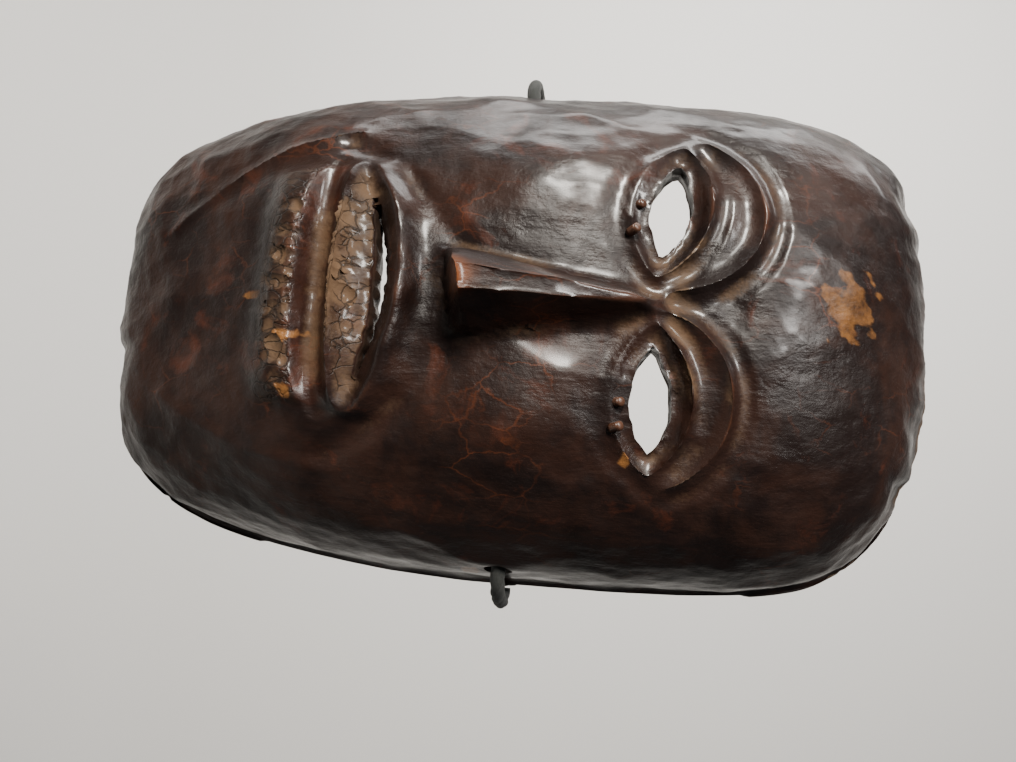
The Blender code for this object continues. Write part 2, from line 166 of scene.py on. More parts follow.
# %% The cord's route
SIDES = ((-1, "right"), (1, "left"))
GAP = 0.3 * MM
CORD_DIAMETER = 4.5 * MM
TIE_Z = 3 * MM
HEAD_CORD_LENGTH = 285 * MM
HOLE_INSET = 24 * MM
RIM_MIDDLE, HOLE_MIDDLE, HOLE_HALF = 74.5 * MM, 69.92 * MM, 5.78 * MM
KNOT_X, KNOT_BEHIND, KNOT_LENGTH = RIM_MIDDLE, 7.8 * MM, 10.5 * MM
HEAD_CORD_BEHIND = 9.6 * MM
CORD_LEAD, CORD_BELLY = 30 * MM, 50 * MM
TIE_STAND_OFF, TIE_FRONT, TIE_BEHIND, TIE_POWER = 2.32 * MM, 0.4 * MM, 5.6 * MM, 2 / 3
HEAD_CORD_POINTS, TIE_POINTS = 420, 90


def even_points(line, count):
    """The same line through count points that lie equally far apart along it."""
    run = np.concatenate([[0.0], np.cumsum(np.linalg.norm(np.diff(line, axis=0), axis=1))])
    steps = np.linspace(0.0, run[-1], count)
    return np.stack([np.interp(steps, run, line[:, k]) for k in range(3)], axis=1), run[-1]


def head_cord_route(count):
    """Sideways out of the knot, then down in a cubic curve whose sag gives the real length."""
    mouth = KNOT_X - KNOT_LENGTH / 2 - GAP
    half_span = mouth - CORD_DIAMETER
    low, high = 20 * MM, HEAD_CORD_LENGTH - 2 * CORD_DIAMETER
    t = np.linspace(0.0, 1.0, 401)
    for _ in range(60):
        sag = 0.5 * (low + high)
        across = (half_span * (1 - t) ** 3 + 3 * (half_span - CORD_LEAD) * t * (1 - t) ** 2
                  + 3 * CORD_BELLY * t ** 2 * (1 - t))
        drop = sag * (3 * t ** 2 * (1 - t) + t ** 3)
        length = 2 * np.hypot(np.diff(across), np.diff(drop)).sum()
        low, high = (low, sag) if length > HEAD_CORD_LENGTH - 2 * CORD_DIAMETER else (sag, high)
    left = np.stack([across, np.full_like(t, HEAD_CORD_BEHIND), TIE_Z - drop], axis=1)
    left = np.concatenate([[(mouth, HEAD_CORD_BEHIND, TIE_Z)], left])
    whole = np.concatenate([left, left[-2::-1] * (-1, 1, 1)])
    return even_points(whole, count)


def tie_route(side, count):
    """A squarish loop through the side hole and round the rim, open at the knot."""
    across = HOLE_HALF + CORD_DIAMETER / 2 + TIE_STAND_OFF
    front, behind = -HOLE_INSET - TIE_FRONT, TIE_BEHIND
    middle, along = (front + behind) / 2, (behind - front) / 2
    turn = np.linspace(-math.pi / 2, 1.5 * math.pi, 721)
    cx, cy = np.cos(turn), -np.sin(turn)
    line_y = middle + along * np.sign(cy) * np.abs(cy) ** TIE_POWER
    lean = (RIM_MIDDLE - HOLE_MIDDLE) / HOLE_INSET * np.minimum(line_y, 0.0)
    loop = np.stack([KNOT_X + lean + across * np.sign(cx) * np.abs(cx) ** TIE_POWER,
                     line_y, np.full_like(cx, TIE_Z)], axis=1)
    face = KNOT_LENGTH / 2 + GAP
    keep = loop[(np.abs(loop[:, 0] - KNOT_X) > face + 0.35 * CORD_DIAMETER) | (loop[:, 1] < middle)]
    ends = [[(KNOT_X + math.copysign(face, p[0] - KNOT_X), p[1], p[2])] for p in (keep[0], keep[-1])]
    route, length = even_points(np.concatenate([ends[0], keep, ends[1]]), count)
    return route * (side, 1, 1), length


# %% Twisted cord along a route


def carried_frames(ahead):
    """Two directions square to the route at each point. Each pair is the pair before it, with
    what lies along the new direction taken out, so the tube never spins by itself."""
    normal = np.zeros_like(ahead)
    normal[0] = np.cross(ahead[0], (0, 0, 1.0)) if abs(ahead[0, 2]) < 0.9 else (0, 1.0, 0)
    for i in range(1, len(ahead)):
        n = normal[i - 1] - ahead[i] * (normal[i - 1] @ ahead[i])
        normal[i] = n / np.linalg.norm(n)
    normal[0] /= np.linalg.norm(normal[0])
    return normal, np.cross(ahead, normal)


def twisted_cord(name, route, diameter, pitch=6.5 * MM, sides=18, plies=3):
    """Rings of points along the route. A ring's radius is a fifth smaller between the plies,
    and the pattern moves on by one ply in every pitch of length. Middle points close the ends."""
    ahead = np.gradient(route, axis=0)
    ahead /= np.linalg.norm(ahead, axis=1, keepdims=True)
    normal, other = carried_frames(ahead)
    run = np.concatenate([[0.0], np.cumsum(np.linalg.norm(np.diff(route, axis=0), axis=1))])
    angle = np.linspace(0, 2 * math.pi, sides, endpoint=False)[None, :]
    lobe = np.abs(np.cos(0.5 * plies * (angle - run[:, None] / pitch * 2 * math.pi / plies)))
    radius = diameter / 2 * (0.80 + 0.20 * lobe ** 0.7)
    ring = (route[:, None, :] + normal[:, None, :] * (radius * np.cos(angle))[:, :, None]
            + other[:, None, :] * (radius * np.sin(angle))[:, :, None])
    count = len(route)
    ends = count * sides
    faces = (tube_faces(count, sides) + cone_faces(0, sides, ends, turned=True)
             + cone_faces(count - 1, sides, ends + 1))
    return make_object(name, np.concatenate([ring.reshape(-1, 3), route[:1], route[-1:]]), faces)


# %% Head cord and ties
route, length = head_cord_route(HEAD_CORD_POINTS)
head_cord = twisted_cord("head_cord_twist", route, CORD_DIAMETER)
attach(head_cord, "cord_loop")
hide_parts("head_cord")
ties = []
for side, word in SIDES:
    tie_line, tie_length = tie_route(side, TIE_POINTS)
    tie = twisted_cord("tie_twist_" + word, tie_line, CORD_DIAMETER)
    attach(tie, "mask")
    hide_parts("tie_" + word)
    ties.append(tie)
print("head cord", round(length * 1000), "mm, each tie", round(tie_length * 1000), "mm")

# %% [markdown]
# ## The face block: plain dome
# The uncarved block is a dome on a squared oval. Its outline is wide at the forehead and
# narrower at the chin, its sides are steep and its two ends ease down to the rim.

# %% Sizes of the face block
HALF_ACROSS, HALF_UP, DEPTH = 79 * MM, 131 * MM, 60 * MM
SIDE_WALL, FRONT_WALL = 9 * MM, 14 * MM
OUTLINE_POWER, CHIN_TAPER, DOME_POWER, CHIN_EASE = 4.1, 0.12, 2.5, 0.18
MOUTH_X, MOUTH_Z, MOUTH_WIDTH, MOUTH_ARCH, LIP_SAG = -2.5 * MM, -33 * MM, 74 * MM, 9 * MM, 13 * MM
EYE_PLACE = {-1: (28.5 * MM, 46 * MM), 1: (25.5 * MM, 43 * MM)}
EYE_SLANT = {-1: 9.0, 1: 0.5}
EYE_SIZE, EYE_HOLE, SLIT = (41 * MM, 21 * MM), (29 * MM, 11.5 * MM), (64 * MM, 5.0 * MM)
NOSE_TIP_Z, NOSE_LENGTH, NOSE_SLANT = -12 * MM, 52 * MM, 0.18


def half_width(z, across, up):
    """Half the plain outline's width at height z: full above, narrowed toward the chin."""
    return across * (1.0 - CHIN_TAPER * ramp(0.0, 1.0, -z / up))


def dome(x, z, across, up, depth):
    """Depth of the plain dome, depth * (1 - s^p)^(1/p), and how far out (x, z) lies: s is 0 in
    the middle and 1 on the outline."""
    a, b = np.abs(x) / half_width(z, across, up), np.abs(z) / up
    s = (a ** OUTLINE_POWER + b ** OUTLINE_POWER) ** (1.0 / OUTLINE_POWER)
    high = np.clip(1.0 - np.clip(s, 0.0, 1.0) ** DOME_POWER, 0.0, 1.0) ** (1.0 / DOME_POWER)
    return depth * high * (1.0 - CHIN_EASE * ramp(0.38, 0.86, -z / up)), s


print("block", round(2 * HALF_ACROSS / MM), "x", round(2 * HALF_UP / MM), "mm")

# %% [markdown]
# ## The carving
# Each feature is a small height added to the dome: the almond eyes with their raised rims,
# the wedge nose, the lips, the chin and the folds beside the mouth.

# %% Eyes


def lens(p, q, length, tall):
    """Signed distance to an almond between two arcs, negative inside it."""
    a, b = length / 2.0, tall / 2.0
    radius = (a * a + b * b) / (2.0 * b)
    return np.maximum(np.hypot(p, q + radius - b), np.hypot(p, q - radius + b)) - radius


def eye_frame(x, z, side):
    """p runs along the eye away from the nose, q toward the forehead."""
    turn = math.radians(EYE_SLANT[side])
    dx, dz = side * x - EYE_PLACE[side][0], z - EYE_PLACE[side][1]
    return dx * math.cos(turn) + dz * math.sin(turn), -dx * math.sin(turn) + dz * math.cos(turn)


def eye_carving(x, z, side):
    """Sunken socket, upper lid falling into the hole, thin raised rim, groove and low brow ridge."""
    p, q = eye_frame(x, z, side)
    edge = lens(p, q, *EYE_SIZE)
    sunk = -2.0 * MM * (1.0 - ramp(-4 * MM, 0.8 * MM, edge))
    fall = -3.2 * MM * (1.0 - ramp(-7 * MM, 0 * MM, edge)) * ramp(-4 * MM, 6 * MM, q)
    rim = 1.5 * MM * bell(edge - 0.3 * MM, 1.35 * MM)
    groove = -1.25 * MM * bell(edge - 3.6 * MM, 1.7 * MM)
    tall = 0.60 if side < 0 else 0.50
    out = np.hypot(p, q / tall * 0.55) - 23.8 * MM
    above = ramp(-4 * MM, 8 * MM, q)
    brow = above * (1.9 * MM * bell(out, 2.2 * MM) - 1.2 * MM * bell(out - 4.0 * MM, 2.0 * MM)
                    - 0.7 * MM * bell(out + 5 * MM, 2.4 * MM))
    return sunk + fall + rim + groove + brow


# %% Nose, mouth and folds


def nose_rise(x, z):
    """A long wedge: a narrow ridge, flat flanks and a blunt squared end."""
    t = np.clip((z - NOSE_TIP_Z) / NOSE_LENGTH, 0.0, 1.0)
    base = 13.5 * MM * (1.0 - t) + 3.5 * MM * t
    top = 4.4 * MM * (1.0 - 0.62 * t)
    rise = 20.6 * MM * (1.0 - t) ** 0.9 + 5 * MM * t
    flank = np.clip((base - np.abs(x)) / (base - top), 0.0, 1.0) ** 0.8
    blunt = ramp(-2.4 * MM, 2.2 * MM, z - NOSE_TIP_Z - NOSE_SLANT * x) ** 0.6
    return rise * flank * blunt * (1.0 - ramp(0.0, 9 * MM, z - NOSE_TIP_Z - NOSE_LENGTH))


def mouth_line(x):
    """Height of the slit, measured from the mouth's own middle: the corners turn down."""
    return MOUTH_Z - MOUTH_ARCH * (2.0 * x / MOUTH_WIDTH) ** 2


def lip_edge(x):
    """Height of the lower lip's sharp outer edge, furthest from the slit in the middle."""
    return mouth_line(x) - LIP_SAG * np.clip(1.0 - (2.0 * x / MOUTH_WIDTH) ** 2, 0.0, 1.0) ** 0.8


NOTCH_PLACES = (-21, -13, -6.5, 1.5, 9, 14.5, 23)


def mouth_carving(x, z):
    """Rounded upper lip, a lower lip that slopes into the slit, a groove and the chin boss.
    The lower lip's top is hollow and broken; its edge and the boss are notched here and there."""
    x = x - MOUTH_X
    above = z - mouth_line(x)
    full = np.sqrt(np.clip(1.0 - (2.0 * x / (1.05 * MOUTH_WIDTH)) ** 2, 0.0, 1.0))
    upper = 5.6 * MM * full * np.exp(-np.abs((above - 6.2 * MM) / (4.3 * MM)) ** 2.6)
    v = z - lip_edge(x)
    lower = 7.8 * MM * full * np.exp(-np.abs(v / np.where(v > 0.0, 6.0 * MM, 2.2 * MM)) ** 1.7)
    hollow = -1.4 * MM * full * bell(v - 4.5 * MM, 2.6 * MM)
    under = -3.2 * MM * full * bell(v + 5.9 * MM, 2.6 * MM)
    span = np.clip(1.0 - (x / (0.48 * MOUTH_WIDTH)) ** 2, 0.0, 1.0) ** 0.5
    boss = 5.4 * MM * span * np.exp(-np.abs((v + 16 * MM) / (7.6 * MM)) ** 3.2)
    parting = -3.5 * MM * full * bell(above, 2.8 * MM)
    upper = upper * (1.0 + 0.16 * np.sin(x / (3.1 * MM)) * np.sin(x / (7 * MM) + 1.0))
    broken = ripple(x, 0 * x, z, 8 * MM, 71, 5)
    near_chips = bell(v - 3 * MM, 4 * MM) + 0.6 * bell(v + 16 * MM, 7 * MM)
    chips = -1.3 * MM * ramp(0.25, 0.6, broken) * full * near_chips
    notches = -1.1 * MM * full * bell(v + 15 * MM, 8 * MM) * sum(
        bell(x - place * MM - 0.15 * (v + 15 * MM), 0.7 * MM) for place in NOTCH_PLACES)
    return upper + lower + hollow + under + boss + parting + chips + notches


def bent_line(x, z, start, bend, end):
    """Distance to the curve (1-t)^2 start + 2t(1-t) bend + t^2 end, whose points are in mm."""
    away = np.full(np.shape(x), 1.0)
    for t in np.linspace(0.0, 1.0, 41):
        px = (1 - t) ** 2 * start[0] + 2 * t * (1 - t) * bend[0] + t ** 2 * end[0]
        pz = (1 - t) ** 2 * start[1] + 2 * t * (1 - t) * bend[1] + t ** 2 * end[1]
        away = np.minimum(away, np.hypot(x - px * MM, z - pz * MM))
    return away


def carving(x, z):
    """Everything that the carver raised or cut on the front: a broad bulge and two small ones
    on the forehead, then eyes, cheeks, folds, nose, mouth, a dip over the nose and the jaw."""
    total = 3.0 * MM * bell(x, 42 * MM) * bell(z - 88 * MM, 30 * MM)
    total = total + 1.3 * MM * bell(x + 9 * MM, 13 * MM) * bell(z - 80 * MM, 11 * MM)
    total = total + 0.8 * MM * bell(x - 9 * MM, 8 * MM) * bell(z - 73 * MM, 7 * MM)
    for side, _ in SIDES:
        total = total + eye_carving(x, z, side)
        total = total + 4.2 * MM * bell(side * x - 37 * MM, 19 * MM) * bell(z - 8 * MM, 21 * MM)
        total = total - 1.5 * MM * bell(bent_line(side * x, z, (15, -12), (30, -20), (46, -46)), 3.4 * MM)
    total = total + nose_rise(x, z) + mouth_carving(x, z)
    total = total - 1.6 * MM * bell(x, 6 * MM) * bell(z - 63 * MM, 4 * MM)
    ridges = 0.0
    for rise, width, start, bend, end in ((1.3, 1.9, (-21, -104), (-44, -78), (-50, -44)),
                                          (-0.9, 4.0, (-29, -96), (-38, -72), (-44, -48)),
                                          (0.8, 2.5, (30, -103), (44, -84), (50, -52))):
        ridges = ridges + rise * MM * bell(bent_line(x, z, start, bend, end), width * MM)
    return total + ridges


print("nose stands", round(float(nose_rise(np.float64(0), np.float64(NOSE_TIP_Z))) / MM, 1), "mm proud")

# %% [markdown]
# ## The fine grid
# The whole block is one closed surface: an outer skin, the same grid again as the hollow
# inside, a ring that joins them at the rim, and a wall through each pierced hole.
# A square grid is bent onto the oval, with its lines closer together at the eyes and mouth.

# %% Grid of places on the block
COLUMNS, ROWS = 187, 253


def dense_lines(count, places):
    """Grid lines from -1 to 1 whose spacing shrinks around each (middle, width, extra)."""
    t = np.linspace(-1.0, 1.0, 2001)
    density = np.ones_like(t)
    for middle, width, extra in places:
        density += extra * bell(t - middle, width)
    run = np.concatenate([[0.0], np.cumsum(0.5 * (density[1:] + density[:-1]))])
    return np.interp(np.linspace(0.0, run[-1], count), run, t)


def even_steps(r):
    """Even steps of r become even steps along the curve of the dome."""
    s = np.sin(np.linspace(0.0, math.pi / 2, 481))
    f = (1.0 - s ** DOME_POWER) ** (1.0 / DOME_POWER)
    run = np.concatenate([[0.0], np.cumsum(np.hypot(HALF_ACROSS * np.diff(s), DEPTH * np.diff(f)))])
    return np.interp(r * run[-1], run, s)


a, b = np.meshgrid(dense_lines(COLUMNS, [(0.0, 0.55, 0.9)]),
                   dense_lines(ROWS, [(0.34, 0.19, 1.5), (-0.32, 0.17, 1.5)]), indexing="ij")
u, v = a * np.sqrt(1 - b * b / 2), b * np.sqrt(1 - a * a / 2)
spread = even_steps(np.clip(np.hypot(u, v), 0.0, 1.0))
norm = np.maximum((np.abs(u) ** OUTLINE_POWER + np.abs(v) ** OUTLINE_POWER) ** (1 / OUTLINE_POWER), 1e-9)
grid_z = HALF_UP * spread * v / norm
grid_x = half_width(grid_z, HALF_ACROSS, HALF_UP) * spread * u / norm
print("grid", grid_x.shape, "places")

# %% [markdown]
# ## Piercing the eyes and the mouth
# Cells inside a hole are left out. The points round it are moved onto its outline, so the
# edge is a clean curve and not a staircase.

# %% Hole outlines on the grid


def hole_distance(x, z):
    """Signed distance to the nearest pierced outline, with a hand-cut wobble."""
    wobble = 0.35 * MM * ripple(x, 0 * x, z, 9 * MM, 5, 3)
    nearest = lens(x - MOUTH_X, z - mouth_line(x - MOUTH_X), *SLIT) + 0.8 * wobble
    for side, _ in SIDES:
        p, q = eye_frame(x, z, side)
        nearest = np.minimum(nearest, lens(p, q, *EYE_HOLE) + wobble)
    return nearest


def hole_slope(x, z, step=0.05 * MM):
    """How fast the distance to the outline grows along x and along z."""
    return ((hole_distance(x + step, z) - hole_distance(x - step, z)) / (2 * step),
            (hole_distance(x, z + step) - hole_distance(x, z - step)) / (2 * step))


def neighbour_mean(values):
    """The mean of the four neighbours of each inner place of a grid."""
    return 0.25 * (values[2:, 1:-1] + values[:-2, 1:-1] + values[1:-1, 2:] + values[1:-1, :-2])


def cell_corners(values):
    """Values at the four corners of each cell, in order round the cell."""
    return np.stack([values[:-1, :-1], values[1:, :-1], values[1:, 1:], values[:-1, 1:]], axis=-1)


# %% Open cells, and the points round them moved onto the outline
distance = hole_distance(grid_x, grid_z)
open_cell = cell_corners(distance).mean(axis=-1) < 0.0
by_open = np.zeros_like(distance, bool)
by_solid = np.zeros_like(distance, bool)
for di in (0, 1):
    for dj in (0, 1):
        by_open[di:di + open_cell.shape[0], dj:dj + open_cell.shape[1]] |= open_cell
        by_solid[di:di + open_cell.shape[0], dj:dj + open_cell.shape[1]] |= ~open_cell
rim_point = by_open & by_solid
for _ in range(6):
    gx, gz = hole_slope(grid_x, grid_z)
    push = np.where(rim_point, hole_distance(grid_x, grid_z), 0.0) / np.maximum(gx ** 2 + gz ** 2, 0.05)
    grid_x, grid_z = grid_x - 0.8 * push * gx, grid_z - 0.8 * push * gz
close_by = np.abs(hole_distance(grid_x, grid_z)) < 4.5 * MM
free = close_by & ~rim_point
for _ in range(25):
    for line in (grid_x, grid_z):
        inside = line[1:-1, 1:-1]
        inside[free[1:-1, 1:-1]] = neighbour_mean(line)[free[1:-1, 1:-1]]
print("open cells", int(open_cell.sum()), "points on hole edges", int(rim_point.sum()))

# %% [markdown]
# ## The carver's marks
# Wood is taken off in short strokes. Each stroke leaves a shallow scoop with a faint ridge
# where it meets the next. Scattered points with a cup round each one give the same look: the
# cut gets shallower with the squared distance to the nearest point, and more slowly along the
# grain, so the scoops are long.

# %% Scoops left by the tool
SKIN_AREA, CENTRES_PER_SCOOP = 0.06, 2.2


def scoops(points, across, along, seed, tilt=0.0):
    """Squared distance to the nearest scattered centre, 0 in a scoop's middle and 1 at its
    ridge. The wood's grain runs up the face, so a scoop is longer in z than in x and y."""
    draw = np.random.default_rng(seed)
    stretch = np.array([1 / across, 1 / across, 1 / along])
    turn = np.array([[math.cos(tilt), 0, math.sin(tilt)], [0, 1, 0], [-math.sin(tilt), 0, math.cos(tilt)]])
    count = int(CENTRES_PER_SCOOP * SKIN_AREA / (across * along))
    anchors = points[draw.choice(len(points), size=count, replace=False)]
    here, there = (points @ turn) * stretch, (anchors @ turn) * stretch
    nearest = np.full(len(points), 9.0)
    for start in range(0, len(there), 40):
        gap = here[:, None, :] - there[None, start:start + 40, :]
        nearest = np.minimum(nearest, (gap ** 2).sum(axis=2).min(axis=1))
    return np.clip(nearest, 0.0, 1.0)


# %% Skin helpers


def surface_normal(place):
    """Unit normal of a grid surface, from the cross product of its two grid directions."""
    across, along = np.gradient(place, axis=0), np.gradient(place, axis=1)
    n = np.cross(across, along)
    return n / np.maximum(np.linalg.norm(n, axis=-1, keepdims=True), 1e-12)


def soften(values, times):
    """Each value moves halfway to the mean of its four neighbours, so many times over."""
    for _ in range(times):
        values = 0.5 * (values + neighbour_mean(np.pad(values, 1, mode="edge")))
    return values


def joined(*lines):
    """Coordinate grids put together as one grid of points."""
    return np.stack(lines, axis=-1)


# %% Outer skin before the tool marks
OUTER_EDGE_Y, INNER_EDGE_Y = -0.8 * MM, -0.6 * MM


def front_depth(x, z):
    """Depth of the carved front. The carving fades out close to the outline."""
    plain, s = dome(x, z, HALF_ACROSS, HALF_UP, DEPTH)
    return plain + carving(x, z) * (1.0 - ramp(0.86, 0.99, s)), s


depth, how_far = front_depth(grid_x, grid_z)
outer_y = -np.maximum(depth, 0.0)
eye_area = sum(bell(np.hypot(side * grid_x - EYE_PLACE[side][0], grid_z - EYE_PLACE[side][1] - 3 * MM),
                    26 * MM) for side, _ in SIDES)
off_the_edge = ramp(0.2 * MM, 2.0 * MM, np.abs(hole_distance(grid_x, grid_z)))
outer_y += (soften(outer_y, 3) - outer_y) * ramp(0.25, 0.5, eye_area) * off_the_edge
edge_row = np.zeros_like(outer_y, bool)
edge_row[0, :] = edge_row[-1, :] = edge_row[:, 0] = edge_row[:, -1] = True
outer_y[edge_row] = OUTER_EDGE_Y
smooth_skin = joined(grid_x, outer_y, grid_z)
print("nose tip reaches y", round(float(outer_y.min()) / MM, 1), "mm")

# %% Tool marks on the outer skin
normal = surface_normal(smooth_skin)
flat = smooth_skin.reshape(-1, 3)
small = scoops(flat, 7.0 * MM, 15 * MM, 11).reshape(grid_x.shape)
large = scoops(flat, 16 * MM, 30 * MM, 12, 0.3).reshape(grid_x.shape)
tiny = scoops(flat, 4.2 * MM, 7.5 * MM, 13, -0.4).reshape(grid_x.shape)
calm = 0.45 + 0.55 * ramp(25 * MM, 60 * MM, np.abs(grid_x)) + 0.5 * ramp(60 * MM, 90 * MM, -grid_z)
waves = ripple(grid_x, outer_y, grid_z, 26 * MM, 3, 4)
cut = -(0.75 * MM * (1 - small) * calm + 1.3 * MM * (1 - large) + 0.14 * MM * (1 - tiny)
        + 0.22 * MM * (1 + np.clip(waves, -1, 1)))
cut = np.where(rim_point, 0.3 * cut, cut) * ramp(0.0, 3 * MM, -outer_y)
outer = smooth_skin + normal * cut[..., None]
print("deepest scoop", round(-float(cut.min()) / MM, 2), "mm")

# %% Worn forehead end and the step in the chin end
near_end = ramp(0.86, 0.97, how_far) * ramp(0.70, 0.88, np.abs(grid_z) / HALF_UP)
dents = (2.2 * MM * bell(grid_x + 44 * MM, 5 * MM) + 1.6 * MM * bell(grid_x + 30 * MM, 4 * MM)
         + 2.0 * MM * ramp(20 * MM, 26 * MM, grid_x) + 2.0 * MM * ramp(38 * MM, 42 * MM, grid_x)
         + 0.5 * MM * (1 + np.clip(ripple(grid_x, 0 * grid_x, 0 * grid_x, 9 * MM, 21, 4), -1, 1)))
step_down = 1.8 * MM * ramp(10 * MM, 14 * MM, grid_x)
outer[..., 2] += near_end * np.where(grid_z > 0, -dents, step_down)
print("ends worn by up to", round(float((near_end * dents).max()) / MM, 1), "mm")

# %% [markdown]
# ## The hollow
# The inside repeats the grid at a smaller size, so each inner point lies behind an outer one
# and the walls of the holes join point to point. Gouge marks there are left rough.

# %% Inner skin
shrink = how_far ** 4
inner_x = grid_x * (1 - SIDE_WALL / HALF_ACROSS * shrink)
inner_z = grid_z * (1 - SIDE_WALL / HALF_UP * shrink)
inner_depth, _ = dome(inner_x, inner_z, HALF_ACROSS - SIDE_WALL, HALF_UP - SIDE_WALL, DEPTH - FRONT_WALL)
inner_y = -inner_depth
inner_y[edge_row] = INNER_EDGE_Y
inner_skin = joined(inner_x, inner_y, inner_z)
gouge = scoops(inner_skin.reshape(-1, 3), 9 * MM, 17 * MM, 31, -0.2).reshape(grid_x.shape)
waves = np.clip(ripple(inner_x, inner_y, inner_z, 18 * MM, 33), -1, 1)
deeper = (0.9 * MM * (1 - gouge) + 0.25 * MM * (1 + waves)) * ramp(0.0, 4 * MM, -inner_y)
inner = inner_skin + surface_normal(inner_skin) * deeper[..., None]
print("hollow is", round(float(-inner[..., 1].min()) / MM), "mm deep")

# %% [markdown]
# ## One closed block
# Four sets of faces close the block: outer skin, inner skin turned round, a ring of strips at
# the rim, and strips through each hole. A strip runs between an edge of a kept cell whose
# neighbour is missing and the same edge on the inner skin.

# %% Edges of kept cells that need a strip
ids = np.arange(grid_x.size).reshape(grid_x.shape)
corner = cell_corners(ids)
solid = ~open_cell
padded = np.pad(solid, 1, constant_values=False)
inside_grid = np.pad(np.ones_like(solid), 1, constant_values=False)
hole_edges, rim_edges = [], []
for first, second, di, dj in ((0, 1, 0, -1), (1, 2, 1, 0), (2, 3, 0, 1), (3, 0, -1, 0)):
    kept_beside = padded[1 + di:padded.shape[0] - 1 + di, 1 + dj:padded.shape[1] - 1 + dj]
    on_grid = inside_grid[1 + di:padded.shape[0] - 1 + di, 1 + dj:padded.shape[1] - 1 + dj]
    pairs = corner[..., [first, second]]
    hole_edges.append(pairs[solid & ~kept_beside & on_grid])
    rim_edges.append(pairs[solid & ~on_grid])
hole_edges, rim_edges = np.concatenate(hole_edges), np.concatenate(rim_edges)
print("hole edges", len(hole_edges), "rim edges", len(rim_edges))

# %% Strips between the skins


def strips(edges, rings, place, first_new):
    """Rings of points between the two skins. place(used, t) gives the points for a share t of
    the way, for the points that the edges use. Returns the new points and the faces."""
    used = np.unique(edges)
    slot = np.zeros(grid_x.size, int)
    slot[used] = np.arange(len(used))
    shares = np.linspace(0.0, 1.0, rings + 1)[1:-1]
    new = np.concatenate([place(used, t) for t in shares])
    between = [first_new + k * len(used) + slot[edges] for k in range(len(shares))]
    levels = [edges] + between + [edges + grid_x.size]
    faces = [np.stack([a[:, 1], a[:, 0], b[:, 0], b[:, 1]], axis=1) for a, b in zip(levels, levels[1:])]
    return new, np.concatenate(faces)


outer_points, inner_points = outer.reshape(-1, 3), inner.reshape(-1, 3)


def wall_place(used, t):
    """Straight from the outer to the inner edge and cut unevenly: the eyes open out a little
    inside the wall and the mouth closes in."""
    start, end = outer_points[used], inner_points[used]
    middle = start * (1 - t) + end * t
    rough = 0.5 * MM * ripple(*middle.T, 6 * MM, 41, 3)
    gx, gz = hole_slope(start[:, 0], start[:, 2], 0.1 * MM)
    size = np.maximum(np.hypot(gx, gz), 1e-9)
    in_mouth = 1.0 - ramp(-20 * MM, -10 * MM, start[:, 2])
    push = (rough + 0.5 * MM - in_mouth * 2.0 * MM) * math.sin(math.pi * t) ** 0.7
    return middle + np.stack([gx / size * push, 0 * push, gz / size * push], axis=1)


def rim_place(used, t):
    """Across the flat rim at y = 0, rounded over at its two edges, with a few chips."""
    start, end = outer_points[used], inner_points[used]
    share = 0.5 - 0.5 * math.cos(math.pi * t)
    ring = start * (1 - share) + end * share
    grain = np.clip(ripple(*ring.T, 7 * MM, 51, 4), -1, 1)
    chip = 1.2 * MM * ramp(0.55, 0.9, grain) * ramp(0.6, 1.0, np.abs(ring[:, 2]) / HALF_UP)
    rounding = 1 - min(1.0, 2.5 * math.sin(math.pi * t))
    ring[:, 1] = OUTER_EDGE_Y * rounding - chip - 0.12 * MM * (1 - grain)
    return ring


# %% All points and faces of the block
RINGS = 9
wall_points, wall_faces = strips(hole_edges, RINGS, wall_place, 2 * grid_x.size)
rim_points, rim_faces = strips(rim_edges, RINGS, rim_place, 2 * grid_x.size + len(wall_points))
outer_faces = corner[solid]
inner_faces = outer_faces[:, ::-1] + grid_x.size
points = np.concatenate([outer_points, inner_points, wall_points, rim_points])
faces = np.concatenate([outer_faces, inner_faces, wall_faces, rim_faces])
used, packed = np.unique(faces, return_inverse=True)
points, faces = points[used], packed.reshape(faces.shape)
print("block has", len(points), "points and", 2 * len(faces), "triangles")

# %% [markdown]
# ## What the surface remembers
# Age shows by place: dust stays in grooves, ridges are rubbed bright, some spots are worn to
# bare wood. These are worked out once as numbers on the points: how hollow or proud the
# surface is, and soft spots drawn where the wear is.

# %% Hollow and proud places


def bend_of(skin, facing, reach):
    """How much nearer points stand proud (positive in a hollow): the mean height of the four
    points a few cells away above this point, along its normal, per square of their distance."""
    pad = np.pad(skin, ((reach, reach), (reach, reach), (0, 0)), mode="reflect", reflect_type="odd")
    total = np.zeros(skin.shape[:2])
    for di, dj in ((-reach, 0), (reach, 0), (0, -reach), (0, reach)):
        other = pad[reach + di:pad.shape[0] - reach + di, reach + dj:pad.shape[1] - reach + dj]
        away = other - skin
        total += (away * facing).sum(axis=-1) / np.maximum((away ** 2).sum(axis=-1), 1e-9)
    return total / 4.0


facing = surface_normal(outer)
fine_bend, broad_bend = bend_of(outer, facing, 2), bend_of(outer, facing, 6)
in_groove = np.clip((fine_bend - 15) / 130.0, 0, 1) * 0.95 + np.clip((broad_bend - 10) / 90.0, 0, 1) * 0.35
proud = np.clip(-fine_bend / 200.0, 0, 1) * 0.7 + np.clip(-broad_bend / 70.0, 0, 1) * 0.6
print("deepest groove", round(float(in_groove.max()), 2), "proudest ridge", round(float(proud.max()), 2))

